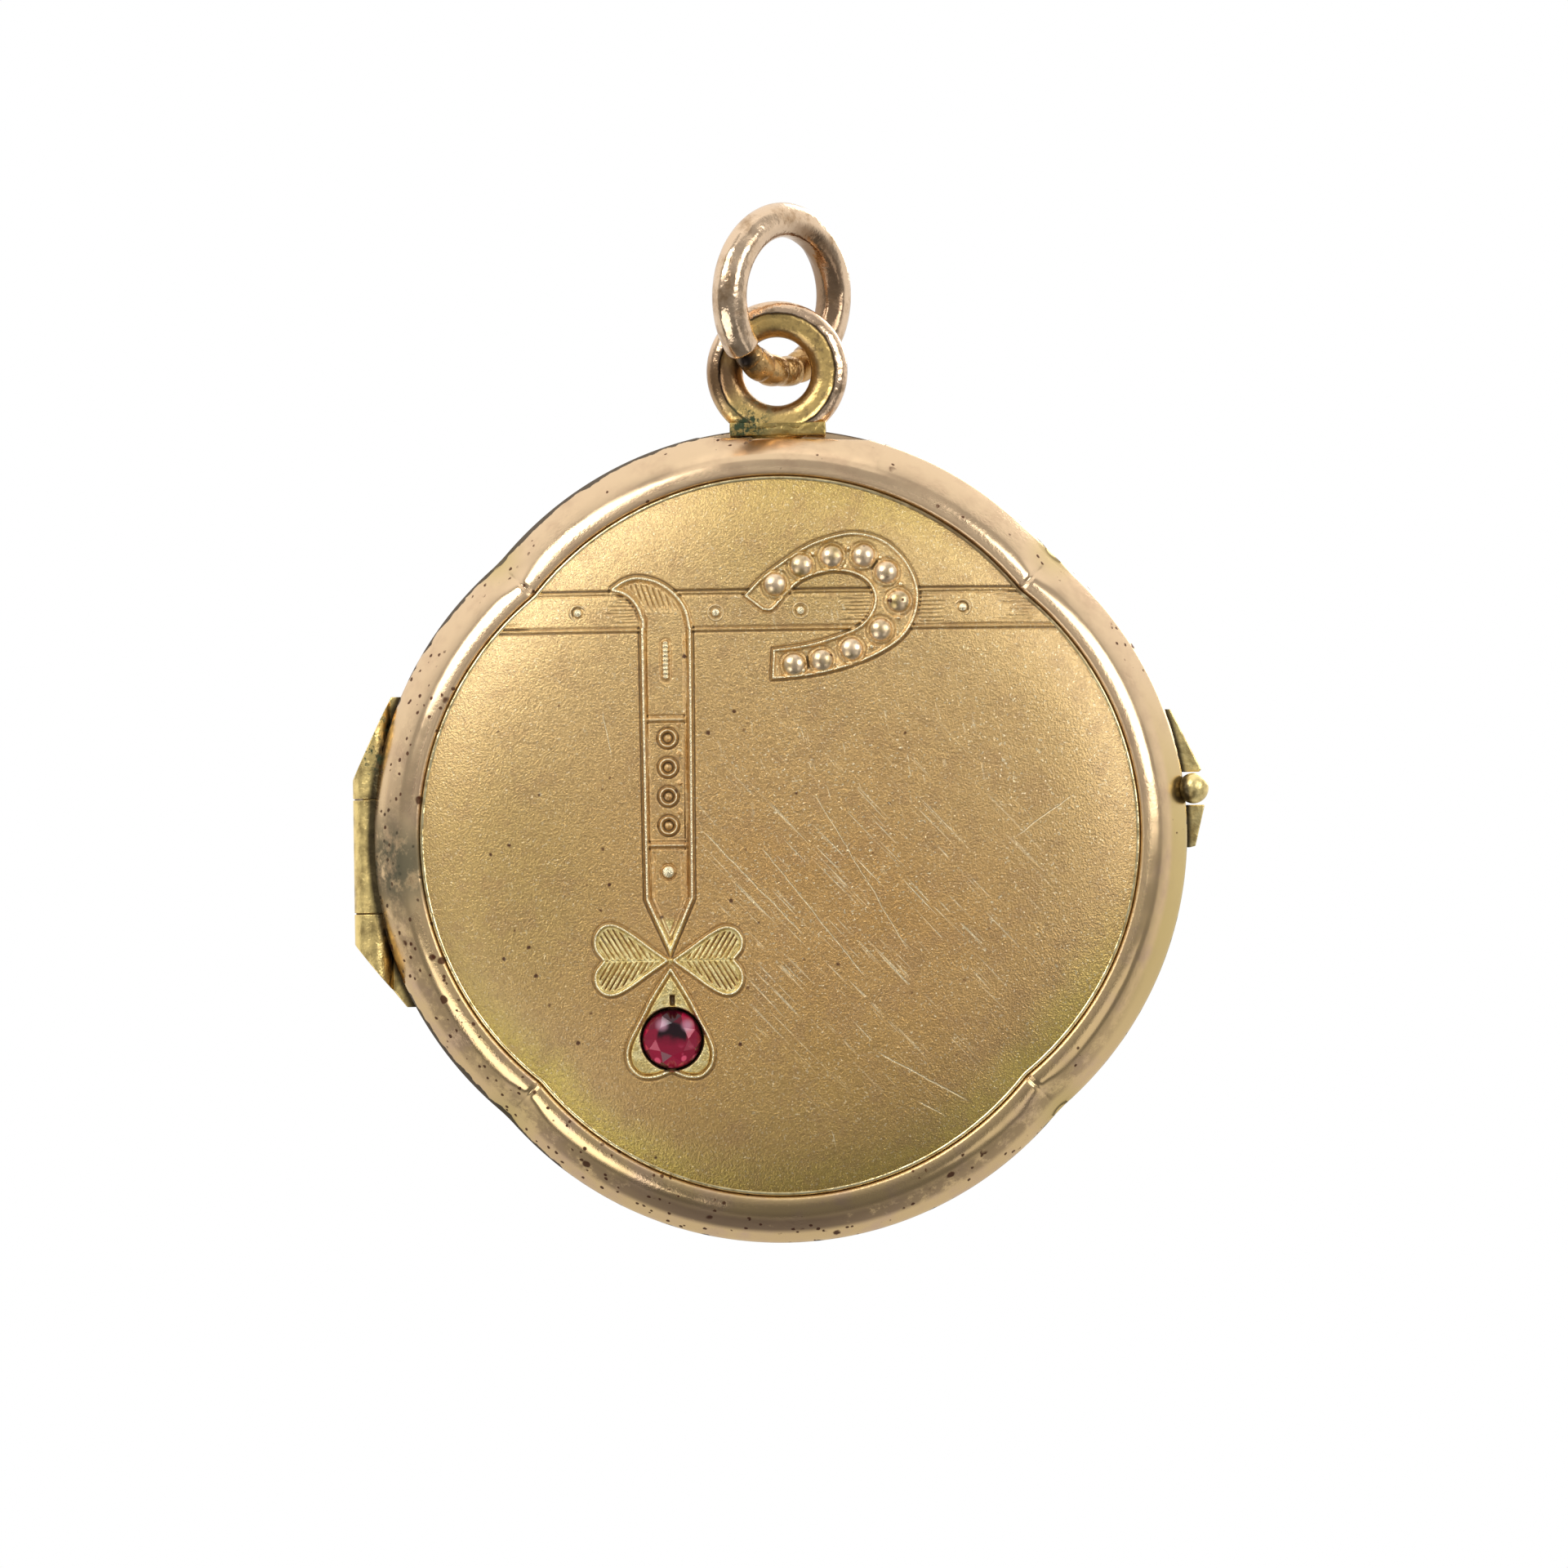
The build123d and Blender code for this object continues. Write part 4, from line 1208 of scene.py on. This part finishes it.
def make_stone():
    """The stone, and the foiled cup under it."""
    mesh = build_mesh(*gem(), sharp=1)
    tint_facets(mesh)
    finish_mesh(mesh, "red_stone", "cover", ruby, ["stone"])
    cone = [(0, -0.66), (0.55, -0.34), (0.90, -0.11), (0.955, -0.05), (1.15, -0.12)]
    cup = [(r, GIRDLE_HEIGHT + h) for r, h in cone] + [(1.15, 1.40), (0, 1.40)]
    cup_shape = lathe(cup, on_case(STONE_X, STONE_Z, 0, COVER), (0, COVER, 0), 48)
    finish_mesh(build_mesh(*cup_shape), "foiled_cup", "cover", foil, ["stone_cup"])


# ---- Bail and jump ring ----


def make_bail():
    """A ring with a rounded outside, an edge line and a flat face that rolls into the hole."""
    half = [(2.16, 0.0), (2.15, 0.10), (2.11, 0.20), (2.04, 0.285), (1.94, 0.345), (1.84, 0.378),
            (1.78, 0.382), (1.755, 0.350), (1.60, 0.343), (1.44, 0.335), (1.34, 0.315), (1.24, 0.265),
            (1.14, 0.18), (1.07, 0.09), (1.045, 0.0)]
    profile = half + [(r, -y) for r, y in half[-2:0:-1]]
    bail = build_mesh(*lathe(profile, bail_centre, (0, 1, 0), 160, closed=True), sharp=55)
    finish_mesh(bail, "bail_ring", "back", bail_brass, ["bail"])
    foot = rounded("bail_foot", voxel=0.025, smoothing=14, bumps=0.07)
    finish_mesh(foot, "bail_solder", "back", foot_brass, ["bail_foot"])


def ring_section(start, sweep, radius_at, steps, sides=40):
    """A stretch of the jump ring. radius_at(share, turn) is the wire's radius, in millimetres."""
    across = Matrix.Rotation(math.radians(RING_TURN), 3, "Z") @ Vector((1, 0, 0))
    lean = Matrix.Rotation(math.radians(RING_LEAN), 3, "Y")
    across, up = lean @ across, lean @ Vector((0, 0, 1))
    normal = across.cross(up)
    turn = np.linspace(0, 2 * math.pi, sides, endpoint=False)
    rows = []
    for share, angle in zip(np.linspace(0, 1, steps), np.linspace(start, start + sweep, steps)):
        radial = -(math.cos(math.radians(angle)) * up - math.sin(math.radians(angle)) * across)
        r = radius_at(share, turn)[:, None]
        section = np.outer(np.cos(turn), radial) + np.outer(np.sin(turn), normal)
        rows.append(np.asarray(radial) * RING_RADIUS + r * section)
    faces = band_faces(steps, sides, False).tolist()
    last = (steps - 1) * sides
    faces.append(list(range(sides)))
    faces.append(list(range(last, last + sides)))
    return np.concatenate(rows), faces


def wire_radius(share, turn):
    """Round wire with softly rounded ends and a little unevenness."""
    end = min(share, 1 - share) * math.radians(360 - WEAR_ARC) * RING_RADIUS
    round_off = 0.07 * max(0.0, 1 - end / 0.07) ** 2
    flats = 0.008 + 0.010 * (1 + np.cos(7 * turn + 3 * math.sin(9 * share)))
    return RING_WIRE - round_off - flats


def worn_radius(share, turn):
    """The brass inside the wire, waisted and ridged where the bail has worn it."""
    neck = line(share - 0.03, 0.06, 0.24)
    ridges = 0.05 * abs(math.sin(15 * share + 0.6)) ** 0.6 + 0.02 * np.sin(4 * turn + 7 * share)
    return RING_WIRE - 0.12 - neck + ridges


def make_ring():
    wire = build_mesh(*ring_section(WEAR_START + WEAR_ARC, 360 - WEAR_ARC, wire_radius, 300))
    finish_mesh(wire, "ring_wire", "chain_link", wire_gold, ["jump_ring"])
    worn = build_mesh(*ring_section(WEAR_START - 2, WEAR_ARC + 4, worn_radius, 90))
    finish_mesh(worn, "ring_worn_core", "chain_link", solder_brass, ["ring_solder"])


# ---- Hinge and thumb piece ----


def make_worn(body, brass, *nodes):
    """Knuckles or thumb guards with worn edges."""
    for node in nodes:
        mesh = rounded(node, voxel=0.022, smoothing=2)
        finish_mesh(mesh, node + "_worn", body, brass, [node])


def make_joint_shade():
    """Black discs of painted shade that fill the thin joints between the knuckles."""
    middle_low, middle_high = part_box("middle_knuckle")
    pin_low, pin_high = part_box("hinge_pin")
    hinge_x = (pin_low.x + pin_high.x) / (2 * MM)
    disc = [(0.29, -0.016), (0.52, -0.016), (0.52, 0.016), (0.29, 0.016)]
    joints = [lathe(disc, (hinge_x, 0, level), (0, 0, 1), 48, closed=True)
              for level in (middle_low.z / MM - 0.02, middle_high.z / MM + 0.02)]
    finish_mesh(build_mesh(*joined(joints)), "hinge_joint_shade", "back", joint_shade_brass)


def make_thumb_ball():
    """The ball, which touches the outer and the front side of its CAD box."""
    low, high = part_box("thumb_ball")
    radius = (high.z - low.z) / (2 * MM)
    centre = (high.x / MM - radius, low.y / MM + radius, (low.z + high.z) / (2 * MM))
    angles = np.linspace(0, math.pi, 25)
    ball = lathe([(radius * math.sin(a), radius * math.cos(a)) for a in angles], centre, (0, 0, 1), 48)
    finish_mesh(build_mesh(*ball), "thumb_ball_turned", "cover", catch_brass, ["thumb_ball"])


# ---- Inside ----


def on_axis(profile, side, steps=240, closed=True):
    """A profile turned round the case's own axis, on one side of the seam."""
    return build_mesh(*lathe(profile, (case_centre.x, 0, case_centre.z), (0, side, 0), steps, closed))


def make_picture_fitting(side, body, prefix):
    """A bezel, and the window that it holds over the card."""
    bezel = [(8.50, 0.50), (8.50, 0.36), (8.54, 0.25), (8.63, 0.165), (8.76, 0.11), (8.92, 0.085),
             (9.70, 0.082), (9.88, 0.09), (9.94, 0.13), (9.95, 0.20), (9.95, 1.0), (9.36, 1.0), (9.36, 0.52)]
    pane = [(0.01, 0.51), (9.32, 0.51), (9.33, 0.52), (9.33, 0.71), (0.01, 0.71)]
    finish_mesh(on_axis(bezel, side), prefix + "_bezel_turned", body, bezel_gold, [prefix + "_bezel"])
    finish_mesh(on_axis(pane, side, 180, closed=False), prefix + "_window_pane", body, window,
                [prefix + "_window"])


def make_catch_lip():
    """The springy ring on the back that grips inside the cover, with a rounded edge."""
    section = [(10.16, -0.49), (10.16, 0.36), (10.18, 0.43), (10.23, 0.49), (10.30, 0.50), (10.37, 0.49),
               (10.42, 0.43), (10.44, 0.36), (10.44, -0.49)]
    finish_mesh(on_axis(section, COVER), "catch_lip_turned", "back", bezel_gold, ["catch_lip"])


def repaint(material, *nodes):
    """Gives CAD nodes that keep their shape a new material."""
    for node in nodes:
        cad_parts[node].data.materials.clear()
        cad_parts[node].data.materials.append(material)


file_notch(make_rim("front_rim_shell", "front_rim", COVER, "cover"))
make_rim("back_rim_shell", "back_rim", BACK, "back")
make_cover_plate()
make_motif("strap_motif", [strap_outline], (-5.5, -4.0), (-2.2, 8.4), MOTIF_LAP)
make_motif("horseshoe_motif", [shoe_outline], (-1.4, 4.4), (4.8, 9.6), MOTIF_LAP)
make_motif("clover_motif", [left_leaf, right_leaf, stone_leaf], (-6.1, -7.8), (-0.6, -2.2), 2 * MOTIF_LAP)
make_edge_bead("panel_edge_bead", COVER, "cover")
make_back_plate()
make_edge_bead("back_edge_bead", BACK, "back")
make_beads()
make_rivets()
make_stone()
make_bail()
make_ring()
make_worn("back", hinge_brass, "upper_knuckle", "lower_knuckle")
make_worn("cover", hinge_brass, "middle_knuckle")
make_worn("back", catch_brass, "upper_thumb_guard", "lower_thumb_guard")
make_joint_shade()
make_thumb_ball()
make_picture_fitting(COVER, "cover", "front")
make_picture_fitting(BACK, "back", "back")
make_catch_lip()
repaint(card, "front_card", "back_card")
repaint(frame_brass, "front_frame", "back_frame", "hinge_pin")


# ---- Camera, floor and light ----

CAMERA_ROLL = 0.8
CAMERA_DISTANCE = 300.0
VIEW_WIDTH = 48.0
VIEW_RIGHT = 0.125
VIEW_UP = 1.575
roll = math.radians(CAMERA_ROLL)
right = Vector((math.cos(roll), 0, -math.sin(roll)))
up = Vector((math.sin(roll), 0, math.cos(roll)))
aim = case_centre + right * VIEW_RIGHT + up * VIEW_UP
camera_data = bpy.data.cameras.new("camera")
camera_data.sensor_width = 36
camera_data.lens = 36 * CAMERA_DISTANCE / VIEW_WIDTH
camera_data.clip_start = 0.001
camera_data.clip_end = 10
camera = bpy.data.objects.new("camera", camera_data)
bpy.context.scene.collection.objects.link(camera)
axes = Matrix((right, up, -Vector((0, 1, 0)))).transposed()
camera.matrix_world = Matrix.Translation((aim - Vector((0, CAMERA_DISTANCE, 0))) * MM) @ axes.to_4x4()
bpy.context.scene.camera = camera

FLOOR_DROP = 29.0
FLOOR_RADIUS = 52.0
floor_mesh = bpy.data.meshes.new("floor")
bm = bmesh.new()
bmesh.ops.create_circle(bm, cap_ends=True, segments=128, radius=FLOOR_RADIUS * MM)
bm.to_mesh(floor_mesh)
bm.free()
floor = bpy.data.objects.new("floor", floor_mesh)
floor.location = (case_centre.x * MM, 0, (case_centre.z - FLOOR_DROP) * MM)
bpy.context.scene.collection.objects.link(floor)
paper = Surface("floor_paper", Roughness=0.9)
paper.color = paper.mix(paper.noise(6.0), (0.86, 0.86, 0.86), (0.82, 0.82, 0.82))
floor_mesh.materials.append(paper.finish())
floor.visible_glossy = False


def softbox(name, direction, distance, size, radiance):
    """A square area light that faces the case. radiance is how bright it looks."""
    data = bpy.data.lights.new(name, "AREA")
    data.shape = "SQUARE"
    data.size = size * MM
    data.energy = radiance * math.pi * (size * MM) ** 2
    light = bpy.data.objects.new(name, data)
    away = Vector(direction).normalized()
    light.location = (case_centre + away * distance) * MM
    light.rotation_euler = away.to_track_quat("Z", "Y").to_euler()
    bpy.context.scene.collection.objects.link(light)


softbox("softbox_left", (-0.54, -0.62, 0.57), 320, 180, 4.2)
softbox("softbox_right", (0.70, -0.64, 0.31), 320, 180, 3.2)
softbox("card_low_left", (-0.55, -0.66, -0.52), 320, 170, 1.9)
softbox("card_low_right", (0.60, -0.62, -0.50), 320, 150, 0.6)
softbox("softbox_top", (0.0, -0.30, 0.95), 320, 200, 0.5)
softbox("softbox_back", (0.5, 0.75, 0.45), 320, 200, 3.0)

# World: a pale surround behind the object and a dimmer room in front of it; plain white to the camera
world = bpy.data.worlds.new("studio")
world.use_nodes = True
bpy.context.scene.world = world
tree = world.node_tree
background = tree.nodes["Background"]
direction = tree.nodes.new("ShaderNodeTexCoord")
split = tree.nodes.new("ShaderNodeSeparateXYZ")
tree.links.new(direction.outputs["Generated"], split.inputs[0])


def world_ramp(value, low, high, dark, light):
    """A smooth rise of brightness from dark to light as value goes from low to high."""
    made = tree.nodes.new("ShaderNodeMapRange")
    made.interpolation_type = "SMOOTHSTEP"
    tree.links.new(value, made.inputs["Value"])
    for socket, number in (("From Min", low), ("From Max", high), ("To Min", dark), ("To Max", light)):
        made.inputs[socket].default_value = number
    return made.outputs["Result"]


in_front = world_ramp(split.outputs["Z"], -0.75, 0.75, 0.19, 0.47)
behind = world_ramp(split.outputs["Z"], -1.0, 0.9, 0.68, 1.05)
blend = tree.nodes.new("ShaderNodeMix")
tree.links.new(world_ramp(split.outputs["Y"], -0.22, 0.08, 0.0, 1.0), blend.inputs["Factor"])
tree.links.new(in_front, blend.inputs[2])
tree.links.new(behind, blend.inputs[3])
seen = tree.nodes.new("ShaderNodeLightPath")
choose = tree.nodes.new("ShaderNodeMix")
choose.data_type = "RGBA"
tree.links.new(seen.outputs["Is Camera Ray"], choose.inputs["Factor"])
tree.links.new(blend.outputs[0], choose.inputs[6])
choose.inputs[7].default_value = (1, 1, 1, 1)
tree.links.new(choose.outputs[2], background.inputs["Color"])
bpy.context.scene.view_settings.view_transform = "Standard"
